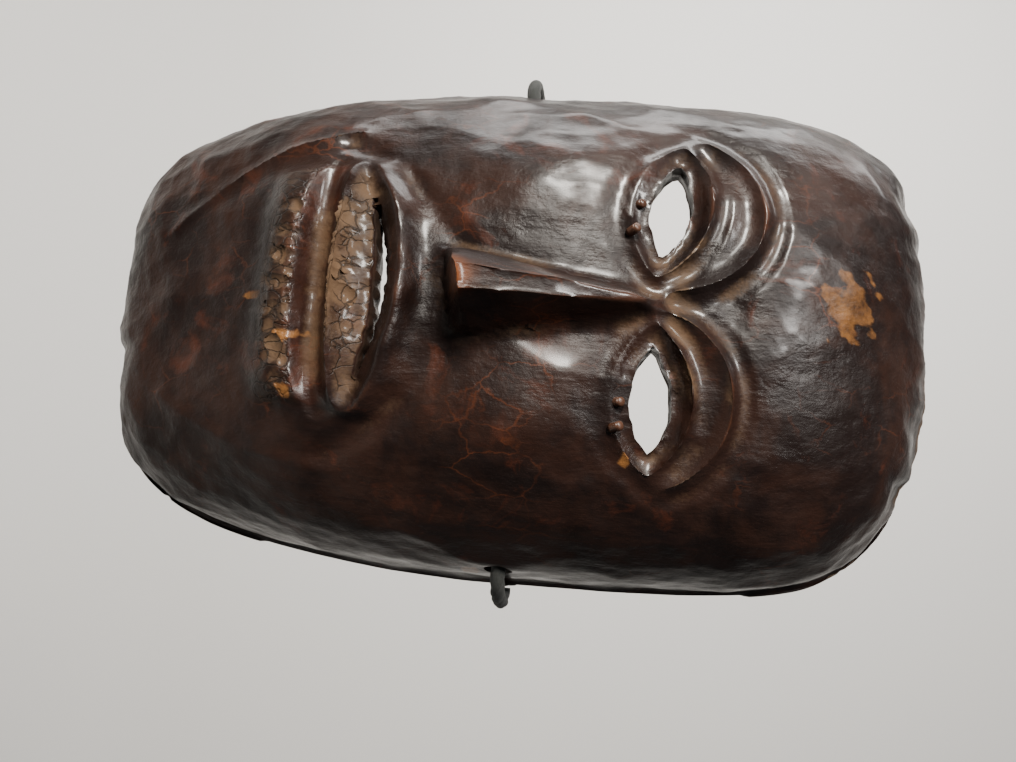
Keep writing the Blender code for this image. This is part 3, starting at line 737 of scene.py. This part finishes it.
# %% Spots of wear
# Each worn spot is (x, z, half width, half height, share), in millimetres.
WORN_SPOTS = ((-5, 97, 10, 9, 0.75), (14, -57, 2.2, 4.5, 1), (42, 37, 2.4, 2.0, 1), (1, -72, 2.0, 3.5, 0.7),
              (29, -57, 2.2, 2.8, 0.8), (76.5, -5, 1.4, 4, 1))
# Each reddish patch is (x, z, size, share), in millimetres.
RED_PATCHES = ((-40, -66, 22, 0.6), (35, 5, 24, 0.7), (-38, 2, 20, 0.6), (-12, 86, 16, 0.5),
               (8, -95, 26, 0.5))
NOSE_TIP = (-1 * MM, -10.5 * MM)


def spot(x, z, across, up):
    """A ragged oval spot, 1 inside and 0 outside."""
    ragged = 0.35 * ripple(grid_x, 0 * grid_x, grid_z, 7 * MM, 61, 4)
    away = np.hypot((grid_x - x * MM) / (across * MM), (grid_z - z * MM) / (up * MM))
    return 1.0 - ramp(0.7, 1.15, away + ragged)


worn = np.clip(sum(share * spot(*place) for *place, share in WORN_SPOTS), 0, 1)
tip = 1 - ramp(3 * MM, 8 * MM, np.hypot(grid_x - NOSE_TIP[0], grid_z - NOSE_TIP[1]))
tip = tip * ramp(66 * MM, 76 * MM, -outer_y)
# Painted sheen: a grey share on the side that faces -X, from 10 to 90 mm up, stands in for light glancing off
# that side.
painted_sheen = ramp(0.35, 0.9, -facing[..., 0]) * ramp(10 * MM, 90 * MM, grid_z) * 0.8
lip_x = grid_x - MOUTH_X
lip_v = grid_z - lip_edge(lip_x)
within = ramp(0.0, 0.15, 1.0 - (2.0 * lip_x / MOUTH_WIDTH) ** 2)
broken = within * (ramp(1 * MM, 4 * MM, lip_v) * (1 - ramp(-2 * MM, 1 * MM, grid_z - mouth_line(lip_x)))
                   + 0.8 * ramp(-26 * MM, -22 * MM, lip_v) * (1 - ramp(-11 * MM, -8 * MM, lip_v)))
reddish = bell(lip_v + 6.5 * MM, 5 * MM) * within + sum(
    share * bell(np.hypot(grid_x - x * MM, grid_z - z * MM), size * MM) for x, z, size, share in RED_PATCHES)
end_line = how_far + 0.006 * ripple(grid_x, 0 * grid_x, grid_z, 6 * MM, 77, 4)
end_grain = (ramp(0.965, 0.985, end_line) * ramp(100 * MM, 112 * MM, grid_z) * ramp(-2 * MM, 4 * MM, grid_x)
             * (1 - ramp(44 * MM, 52 * MM, grid_x)))
values = {"in_groove": soften(np.clip(in_groove, 0, 1), 3), "proud": soften(np.clip(proud, 0, 1), 2),
          "worn": worn, "tip": tip, "painted_sheen": painted_sheen, "broken": np.clip(broken, 0, 1),
          "reddish": np.clip(reddish, 0, 1)}
print({k: round(float(v.mean()), 3) for k, v in values.items()})

# %% The block as an object
mask_block = make_object("mask_block", points, faces.tolist())
mask_block.data.set_sharp_from_angle(angle=math.radians(55))
behind_skin = np.zeros(grid_x.size + len(wall_points) + len(rim_points))
for name, on_skin in values.items():
    add_values(mask_block.data, name, np.concatenate([on_skin.ravel(), behind_skin])[used])
raw = np.concatenate([0.8 * end_grain.ravel(), np.ones(grid_x.size), np.full(len(wall_points), 0.45),
                      np.ones(len(rim_points))])
add_values(mask_block.data, "raw", raw[used])
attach(mask_block, "mask")
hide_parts("mask_shell")
print("mask_block carries", [*values, "raw"])

# %% [markdown]
# ## Drilling the cord holes
# The two side holes go straight through the walls. A Boolean with one long rod drills both.

# %% Side holes
DRILL_RADIUS, DRILL_REACH = 4.3 * MM, 95 * MM


def rod(name, radius, half_length, y, z, sides=28):
    """A straight rod along X."""
    turn = np.linspace(0, 2 * math.pi, sides, endpoint=False)
    ring = np.stack([0 * turn, y + radius * np.cos(turn), z + radius * np.sin(turn)], axis=1)
    ends = np.concatenate([ring - (half_length, 0, 0), ring + (half_length, 0, 0)])
    caps = [list(range(sides))[::-1], list(range(sides, 2 * sides))]
    return make_object(name, ends, tube_faces(2, sides) + caps, smooth=False, turn_outward=True)


drill = rod("drill", DRILL_RADIUS, DRILL_REACH, -HOLE_INSET, TIE_Z)
bore = mask_block.modifiers.new("bore", "BOOLEAN")
bore.operation, bore.solver, bore.object = "DIFFERENCE", "EXACT", drill
bpy.context.view_layer.update()
drilled = bpy.data.meshes.new_from_object(mask_block.evaluated_get(bpy.context.evaluated_depsgraph_get()))
mask_block.modifiers.clear()
mask_block.data = drilled
bpy.data.objects.remove(drill, do_unlink=True)
print("drilled block has", len(drilled.polygons), "faces")

# %% [markdown]
# ## Pegs and knots
# Two small round pegs sit in each lower lid. They are turned shapes: a profile carried round
# an axis that stands square on the surface. The knots are tight overhand knots, whose line
# is a trefoil: it goes twice round while it weaves three times up and down.

# %% Pegs
PEG_RADIUS, PEG_FOOT, PEG_COLLAR, PEG_DOME = 1.3 * MM, -3.0 * MM, 0.35 * MM, 0.7 * MM
PEG_Q, SLOPE_STEP = -8.3 * MM, 1.5 * MM
PEG_PLACES = (("right_inner", -1, -9.0 * MM), ("right_outer", -1, -1.0 * MM),
              ("left_inner", 1, 1.0 * MM), ("left_outer", 1, 7.5 * MM))


def lid_depth(x, z):
    """Depth of the carved front at one place."""
    return float(front_depth(np.float64(x), np.float64(z))[0])


def peg(name, side, p, q=PEG_Q):
    """Turned profile: straight sides and a low dome, with its foot in the wood. It stands on
    the lid at (p, q) of the eye's own frame, along the surface's normal."""
    turn = math.radians(EYE_SLANT[side])
    x = side * (EYE_PLACE[side][0] + p * math.cos(turn) - q * math.sin(turn))
    z = EYE_PLACE[side][1] + p * math.sin(turn) + q * math.cos(turn)
    slope_x = (lid_depth(x + SLOPE_STEP, z) - lid_depth(x - SLOPE_STEP, z)) / (2 * SLOPE_STEP)
    slope_z = (lid_depth(x, z + SLOPE_STEP) - lid_depth(x, z - SLOPE_STEP)) / (2 * SLOPE_STEP)
    out = np.array([-slope_x, -1.0, -slope_z])
    out /= np.linalg.norm(out)
    one = np.cross(out, (0, 0, 1.0))
    one /= np.linalg.norm(one)
    two = np.cross(out, one)
    arc = np.linspace(0, math.pi / 2, 10)
    radius = PEG_RADIUS * np.concatenate([np.ones(5), np.cos(arc)])
    height = np.concatenate([np.linspace(PEG_FOOT, PEG_COLLAR, 5), PEG_COLLAR + PEG_DOME * np.sin(arc)])
    around = np.linspace(0, 2 * math.pi, 20, endpoint=False)
    seat = np.array([x, -lid_depth(x, z), z])
    ring = (seat + height[:, None, None] * out + radius[:, None, None]
            * (np.cos(around)[None, :, None] * one + np.sin(around)[None, :, None] * two))
    rings, sides = len(height) - 1, len(around)
    points = np.concatenate([ring[:-1].reshape(-1, 3), [seat + out * height[-1]], [seat + out * height[0]]])
    faces = (tube_faces(rings, sides) + cone_faces(rings - 1, sides, rings * sides)
             + cone_faces(0, sides, rings * sides + 1))
    return make_object(name, points, faces, turn_outward=True)


pegs = []
for word, side, p in PEG_PLACES:
    pegs.append(peg("lid_peg_" + word, side, p))
    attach(pegs[-1], "mask")
    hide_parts("peg_" + word)
print("pegs", [p.name for p in pegs])

# %% Knots
KNOT_SCALE, KNOT_STRAND = 1.32 * MM, 4.0 * MM


def knot_line(side, count=150):
    """Trefoil: radius 2 + cos 3t, twice round, with sin 3t along the axis, scaled to the knot."""
    t = np.linspace(0, 2 * math.pi, count)
    reach = KNOT_SCALE * (2 + np.cos(3 * t))
    return np.stack([side * KNOT_X + 2.5 * KNOT_SCALE * np.sin(3 * t), KNOT_BEHIND + reach * np.cos(2 * t),
                     TIE_Z + reach * np.sin(2 * t)], axis=1)


knots = []
for side, word in SIDES:
    knot = twisted_cord("knot_twist_" + word, knot_line(side), KNOT_STRAND, sides=14)
    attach(knot, "mask")
    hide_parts("knot_" + word)
    knots.append(knot)
print("knots", len(knots))

# %% [markdown]
# ## Shared finishes
# Grain and settled dust come up in more than one finish, so each one is a node group with
# named inputs and outputs, built once.

# %% Node helpers


def fill(tree, socket, value):
    """Link the socket to another socket, or set it to a plain value."""
    if isinstance(value, bpy.types.NodeSocket):
        tree.links.new(value, socket)
    else:
        socket.default_value = value


def node(tree, kind, settings=None, **inputs):
    """Add a node, set its own settings, and fill inputs by name, or by number as _0, _1, _2."""
    made = tree.nodes.new(kind)
    for key, value in (settings or {}).items():
        setattr(made, key, value)
    for key, value in inputs.items():
        numbered = key[0] == "_" and key[1:].isdigit()
        fill(tree, made.inputs[int(key[1:]) if numbered else key.replace("_", " ")], value)
    return made


def math_node(tree, operation, first, second=0.0, third=0.0, clamp=False):
    """One math step. MULTIPLY_ADD gives first * second + third."""
    settings = {"operation": operation, "use_clamp": clamp}
    return node(tree, "ShaderNodeMath", settings, _0=first, _1=second, _2=third).outputs[0]


def times(tree, first, second):
    """first * second."""
    return math_node(tree, "MULTIPLY", first, second)


def mix_colour(tree, share, first, second):
    """The first colour at share 0 and the second at share 1."""
    return node(tree, "ShaderNodeMix", {"data_type": "RGBA"}, _0=share, _6=first, _7=second).outputs[2]


def steps(tree, value, low, high, start=0.0, end=1.0):
    """A smooth rise of a mask from start at low to end at high."""
    return node(tree, "ShaderNodeMapRange", {"interpolation_type": "SMOOTHSTEP"}, Value=value,
                From_Min=low, From_Max=high, To_Min=start, To_Max=end).outputs[0]


def noise(tree, where, scale, detail=4.0, rough=0.55, twist=0.0):
    """Soft noise between 0 and 1. A bigger scale makes it finer."""
    return node(tree, "ShaderNodeTexNoise", None, Vector=where, Scale=scale, Detail=detail,
                Roughness=rough, Distortion=twist).outputs["Fac"]


def cell_edge(tree, where, scale):
    """Distance to the edge of the nearest cell of a random pattern."""
    return node(tree, "ShaderNodeTexVoronoi", {"feature": "DISTANCE_TO_EDGE"}, Vector=where,
                Scale=scale).outputs["Distance"]


def squeezed(tree, where, scale):
    """Coordinates scaled by three numbers. A small number draws a pattern out along that axis."""
    return node(tree, "ShaderNodeMapping", None, Vector=where, Scale=scale).outputs[0]


def bumped(tree, height, strength, distance):
    """A normal that leans with the height."""
    return node(tree, "ShaderNodeBump", None, Height=height, Strength=strength, Distance=distance).outputs[0]


# %% Group helpers


def new_group(name, inputs, outputs):
    """An empty shader node group with the given sockets: (name, type, default)."""
    tree = bpy.data.node_groups.new(name, "ShaderNodeTree")
    for label, kind, value in inputs:
        made = tree.interface.new_socket(label, in_out="INPUT", socket_type=kind)
        if value is not None:
            made.default_value = value
    for label, kind in outputs:
        tree.interface.new_socket(label, in_out="OUTPUT", socket_type=kind)
    return tree, tree.nodes.new("NodeGroupInput"), tree.nodes.new("NodeGroupOutput")


def use(tree, group, **inputs):
    """Put a node group into a material."""
    made = tree.nodes.new("ShaderNodeGroup")
    made.node_tree = group
    for key, value in inputs.items():
        fill(tree, made.inputs[key], value)
    return made.outputs


# %% Grain group
grain, gin, gout = new_group("wood_grain",
                             [("Coordinates", "NodeSocketVector", None), ("Size", "NodeSocketFloat", 1.0)],
                             [("Streaks", "NodeSocketFloat"), ("Blotches", "NodeSocketFloat")])
sized = node(grain, "ShaderNodeVectorMath", {"operation": "SCALE"}, _0=gin.outputs["Coordinates"],
             Scale=gin.outputs["Size"]).outputs[0]
drawn_out = squeezed(grain, sized, (1.0, 1.0, 0.12))
grain.links.new(noise(grain, drawn_out, 420.0, 6.0, 0.6, 0.6), gout.inputs["Streaks"])
grain.links.new(noise(grain, sized, 38.0, 6.0, 0.62, 0.4), gout.inputs["Blotches"])
print("wood_grain has", len(grain.nodes), "nodes")

# %% Dust group
dust, din, dout = new_group("settled_dust",
                            [("Coordinates", "NodeSocketVector", None), ("Amount", "NodeSocketFloat", 0.0)],
                            [("Mask", "NodeSocketFloat"), ("Colour", "NodeSocketColor")])
DARK_DUST, PALE_DUST = (0.075, 0.042, 0.022, 1), (0.19, 0.115, 0.062, 1)
speck = noise(dust, din.outputs["Coordinates"], 900.0, 6.0, 0.7)
drift = noise(dust, din.outputs["Coordinates"], 130.0, 5.0, 0.6)
settled = times(dust, din.outputs["Amount"], math_node(dust, "ADD", drift, 0.55))
settled = math_node(dust, "ADD", settled, times(dust, speck, 0.45))
dust.links.new(steps(dust, settled, 0.42, 1.02), dout.inputs["Mask"])
dust.links.new(mix_colour(dust, drift, DARK_DUST, PALE_DUST), dout.inputs["Colour"])
print("settled_dust has", len(dust.nodes), "nodes")

# %% [markdown]
# ## The dark wood
# Old handled wood is nearly black, polished by grease and hands. Red-brown shows through in
# patches, grooves keep brown dust, and rubbed spots show bare ochre wood. Each layer is mixed
# over the one before it by a mask, so the order of the lines is the order of the layers.

# %% Colours of the wood
DARKEST, DARK_BROWN = (0.0075, 0.0038, 0.0031, 1), (0.023, 0.0095, 0.0060, 1)
STREAK_DARK, CRACK_BLACK = (0.009, 0.0055, 0.005, 1), (0.006, 0.004, 0.003, 1)
RED_BROWN, RUBBED_BROWN = (0.105, 0.026, 0.010, 1), (0.13, 0.045, 0.018, 1)
# The first colour on the next line is painted sheen: the grey of light glancing off the side that faces -X.
PAINTED_SHEEN_GREY, FINE_RED_LINE = (0.056, 0.049, 0.043, 1), (0.15, 0.040, 0.012, 1)
OCHRE, DARK_OCHRE, TIP_RED = (0.34, 0.15, 0.038, 1), (0.13, 0.05, 0.018, 1), (0.16, 0.050, 0.016, 1)
RAW_DARK, RAW_PALE = (0.050, 0.032, 0.023, 1), (0.15, 0.105, 0.072, 1)
print("nearly black is", DARKEST[:3], "and bare wood is", OCHRE[:3])

# %% Material helpers


def finish(name):
    """A new material with its Principled shader and the place on the piece."""
    made = bpy.data.materials.new(name)
    made.use_nodes = True
    tree = made.node_tree
    return made, tree, tree.nodes["Principled BSDF"], tree.nodes.new("ShaderNodeTexCoord").outputs["Object"]


def read(tree, name):
    """The number that add_values stored under this name."""
    return node(tree, "ShaderNodeAttribute", {"attribute_name": name}).outputs["Fac"]


# %% Dark wood: brown, red and streaks
dark_wood, tree, shader, where = finish("dark_wood")
wood = use(tree, grain, Coordinates=where)
streak, reddish_here, broken_here = wood["Streaks"], read(tree, "reddish"), read(tree, "broken")
raw_wood = read(tree, "raw")
colour = mix_colour(tree, steps(tree, wood["Blotches"], 0.40, 0.62), DARKEST, DARK_BROWN)
patches = steps(tree, noise(tree, where, 62.0, 6.0, 0.66, 0.8), 0.46, 0.78, -0.30, 0.42)
red_share = math_node(tree, "MULTIPLY_ADD", reddish_here, 0.42, patches, clamp=True)
colour = mix_colour(tree, red_share, colour, RED_BROWN)
colour = mix_colour(tree, times(tree, streak, 0.5), colour, STREAK_DARK)
colour = mix_colour(tree, steps(tree, read(tree, "proud"), 0.45, 1.0, 0.0, 0.32), colour, RUBBED_BROWN)
print("browns mixed so far with", len(tree.nodes), "nodes")

# %% Dark wood: painted sheen, dust and cracks
# Painted sheen: grey laid over the side that faces -X stands in for light glancing off it, and there it also
# dulls the polish.
painted_sheen_share = times(tree, read(tree, "painted_sheen"), steps(tree, noise(tree, where, 55.0, 5.0), 0.3, 0.7, 0.15, 0.75))
colour = mix_colour(tree, painted_sheen_share, colour, PAINTED_SHEEN_GREY)
amount = math_node(tree, "MULTIPLY_ADD", read(tree, "in_groove"), 0.92, times(tree, broken_here, 0.35))
dusty = use(tree, dust, Coordinates=where, Amount=amount)
colour = mix_colour(tree, times(tree, dusty["Mask"], 0.6), colour, dusty["Colour"])
wander = node(tree, "ShaderNodeTexNoise", None, Vector=where, Scale=260.0, Detail=4.0).outputs["Color"]
warped = node(tree, "ShaderNodeVectorMath", {"operation": "MULTIPLY_ADD"}, _0=wander, _1=(0.003,) * 3,
              _2=squeezed(tree, where, (1.0, 1.0, 0.55))).outputs[0]
line_share = math_node(tree, "MULTIPLY_ADD", reddish_here, 0.14, noise(tree, where, 46.0, 4.0))
fine_line = times(tree, steps(tree, cell_edge(tree, warped, 105.0), 0.0, 0.03, 1.0, 0.0),
                  steps(tree, line_share, 0.52, 0.74, 0.0, 0.3))
colour = mix_colour(tree, fine_line, colour, FINE_RED_LINE)
crack = times(tree, steps(tree, cell_edge(tree, warped, 240.0), 0.0, 0.07, 1.0, 0.0),
              steps(tree, broken_here, 0.35, 0.9))
colour = mix_colour(tree, times(tree, crack, 0.75), colour, CRACK_BLACK)
print("film, dust and cracks bring it to", len(tree.nodes), "nodes")

# %% Dark wood: bare spots, nose tip and raw wood
torn = times(tree, read(tree, "worn"), math_node(tree, "ADD", noise(tree, where, 240.0, 7.0, 0.7), 0.35))
ochre = mix_colour(tree, streak, OCHRE, DARK_OCHRE)
colour = mix_colour(tree, steps(tree, torn, 0.36, 0.92, 0.0, 0.78), colour, ochre)
tip_share = times(tree, read(tree, "tip"), steps(tree, noise(tree, where, 130.0, 5.0), 0.3, 0.65, 0.35, 0.85))
colour = mix_colour(tree, tip_share, colour, TIP_RED)
rough_wood = mix_colour(tree, streak, RAW_DARK, RAW_PALE)
fill(tree, shader.inputs["Base Color"], mix_colour(tree, steps(tree, raw_wood, 0.3, 0.9), colour, rough_wood))
print("bare and raw wood bring it to", len(tree.nodes), "nodes")

# %% Dark wood: polish
# Dust, the painted grey sheen and raw wood are dull, and the polish fades toward the chin, between these
# heights.
CHIN_DULL_Z, CHIN_BRIGHT_Z = -0.115, -0.045
dull = math_node(tree, "MAXIMUM", steps(tree, raw_wood, 0.2, 0.8), times(tree, painted_sheen_share, 0.85))
dull = math_node(tree, "MAXIMUM", times(tree, dusty["Mask"], 0.8), dull)
gloss = steps(tree, noise(tree, where, 90.0, 5.0, 0.6), 0.3, 0.75, 0.32, 0.52)
up_face = node(tree, "ShaderNodeSeparateXYZ", None, Vector=where).outputs["Z"]
fill(tree, shader.inputs["Specular IOR Level"], steps(tree, up_face, CHIN_DULL_Z, CHIN_BRIGHT_Z, 0.08, 0.20))
fill(tree, shader.inputs["Roughness"], math_node(tree, "MULTIPLY_ADD", dull, 0.42, gloss, clamp=True))
polish = times(tree, steps(tree, up_face, CHIN_DULL_Z, CHIN_BRIGHT_Z, 0.25, 1.0),
               steps(tree, noise(tree, where, 34.0, 4.0), 0.35, 0.65, 0.12, 0.62))
bright = math_node(tree, "SUBTRACT", 1.0, dull, clamp=True)
fill(tree, shader.inputs["Coat Weight"], times(tree, bright, polish))
fill(tree, shader.inputs["Coat Roughness"], 0.18)
fill(tree, shader.inputs["Coat IOR"], 1.38)
print("dull below", CHIN_DULL_Z, "m and polished above", CHIN_BRIGHT_Z, "m")

# %% Dark wood: fine relief
wrinkle = noise(tree, squeezed(tree, where, (0.8, 0.8, 0.45)), 620.0, 5.0, 0.6, 0.5)
relief = math_node(tree, "ADD", times(tree, wrinkle, 0.55), times(tree, streak, 0.55))
for bumps, share in ((noise(tree, where, 210.0, 6.0, 0.62), 1.1), (noise(tree, where, 95.0, 3.0, 0.5), 1.5),
                     (crack, -1.2)):
    relief = math_node(tree, "MULTIPLY_ADD", bumps, share, relief)
fill(tree, shader.inputs["Normal"], bumped(tree, relief, 0.42, 0.0008))
mask_block.data.materials.clear()
mask_block.data.materials.append(dark_wood)
print("dark wood has", len(tree.nodes), "nodes")

# %% Peg wood
peg_wood, tree, shader, where = finish("peg_wood")
wood = use(tree, grain, Coordinates=where, Size=2.5)
colour = mix_colour(tree, wood["Blotches"], (0.030, 0.013, 0.009, 1), (0.12, 0.05, 0.025, 1))
colour = mix_colour(tree, times(tree, wood["Streaks"], 0.5), colour, (0.012, 0.007, 0.006, 1))
fill(tree, shader.inputs["Base Color"], colour)
fill(tree, shader.inputs["Roughness"], steps(tree, wood["Blotches"], 0.2, 0.8, 0.22, 0.5))
fill(tree, shader.inputs["Normal"], bumped(tree, wood["Streaks"], 0.4, 0.0003))
for piece in pegs:
    piece.data.materials.append(peg_wood)
print("peg wood has", len(tree.nodes), "nodes")

# %% Black cord
black_cord, tree, shader, where = finish("black_cord")
fuzz = noise(tree, where, 2600.0, 4.0, 0.7)
faded = steps(tree, noise(tree, where, 240.0, 4.0, 0.6), 0.35, 0.75)
colour = mix_colour(tree, faded, (0.008, 0.010, 0.009, 1), (0.020, 0.023, 0.021, 1))
cord_dust = use(tree, dust, Coordinates=where, Amount=0.28)
colour = mix_colour(tree, times(tree, cord_dust["Mask"], 0.15), colour, cord_dust["Colour"])
fill(tree, shader.inputs["Base Color"], colour)
fill(tree, shader.inputs["Roughness"], steps(tree, fuzz, 0.2, 0.8, 0.72, 0.95))
threads = math_node(tree, "ADD", fuzz, noise(tree, where, 1200.0, 3.0))
fill(tree, shader.inputs["Normal"], bumped(tree, threads, 0.7, 0.0004))
fill(tree, shader.inputs["Sheen Weight"], 0.08)
for piece in [head_cord] + ties + knots:
    piece.data.materials.append(black_cord)
print("black cord has", len(tree.nodes), "nodes")

# %% [markdown]
# ## Floor, backdrop and light
# The mask is held up as a head or a wall would hold it, so the pale floor lies below it and
# the pale backdrop stands well behind. The key light comes from the wearer's right, a weaker
# one from above the forehead, and a third washes the wall. The pale world fills in the rest.

# %% Stage
FLOOR_Z, FLOOR_FRONT_Y, WALL_Y, WALL_TOP_Z, BEND, HALF_WALL = -1.4, -3.0, 1.8, 3.2, 0.6, 4.0


def sweep(name):
    """A floor that turns up into a wall along a quarter circle."""
    t = np.linspace(0, math.pi / 2, 17)
    y = np.concatenate([[FLOOR_FRONT_Y], WALL_Y - BEND + BEND * np.sin(t), [WALL_Y]])
    z = np.concatenate([[FLOOR_Z], FLOOR_Z + BEND * (1 - np.cos(t)), [WALL_TOP_Z]])
    count = len(y)
    places = np.stack([np.repeat([-HALF_WALL, HALF_WALL], count), np.tile(y, 2), np.tile(z, 2)], axis=1)
    k = np.arange(count - 1)
    made = make_object(name, places, np.stack([k, k + count, k + count + 1, k + 1], axis=1).tolist())
    paint, tree, shader, _ = finish(name + "_paint")
    fill(tree, shader.inputs["Base Color"], (0.80, 0.78, 0.75, 1))
    fill(tree, shader.inputs["Roughness"], 0.9)
    made.data.materials.append(paint)
    return made


backdrop = sweep("backdrop")
print("backdrop", [round(side, 2) for side in backdrop.dimensions], "m")

# %% Lights


def area_light(name, place, aim, size, power, colour):
    """A soft rectangular light at place that shines at aim."""
    data = bpy.data.lights.new(name, "AREA")
    data.shape, data.size, data.size_y = "RECTANGLE", size[0], size[1]
    data.energy, data.color = power, colour
    made = add_object(name, data)
    made.location = place
    made.rotation_euler = line_of_sight(place, aim).to_euler()


area_light("key", (-0.55, -0.84, 0.18), (0, -0.04, 0.0), (0.20, 0.15), 22.0, (1.0, 0.95, 0.87))
area_light("front", (-0.31, -0.85, 0.76), (0, -0.04, 0.05), (0.22, 0.16), 13.0, (1.0, 0.97, 0.93))
area_light("wall_wash", (-1.3, 0.3, 0.4), (-0.5, 1.8, 0.0), (1.2, 1.6), 62.0, (1.0, 0.985, 0.96))
world = bpy.data.worlds.new("surroundings")
world.use_nodes = True
background = world.node_tree.nodes["Background"].inputs
background["Color"].default_value, background["Strength"].default_value = (0.95, 0.96, 1.0, 1), 0.09
bpy.context.scene.world = world
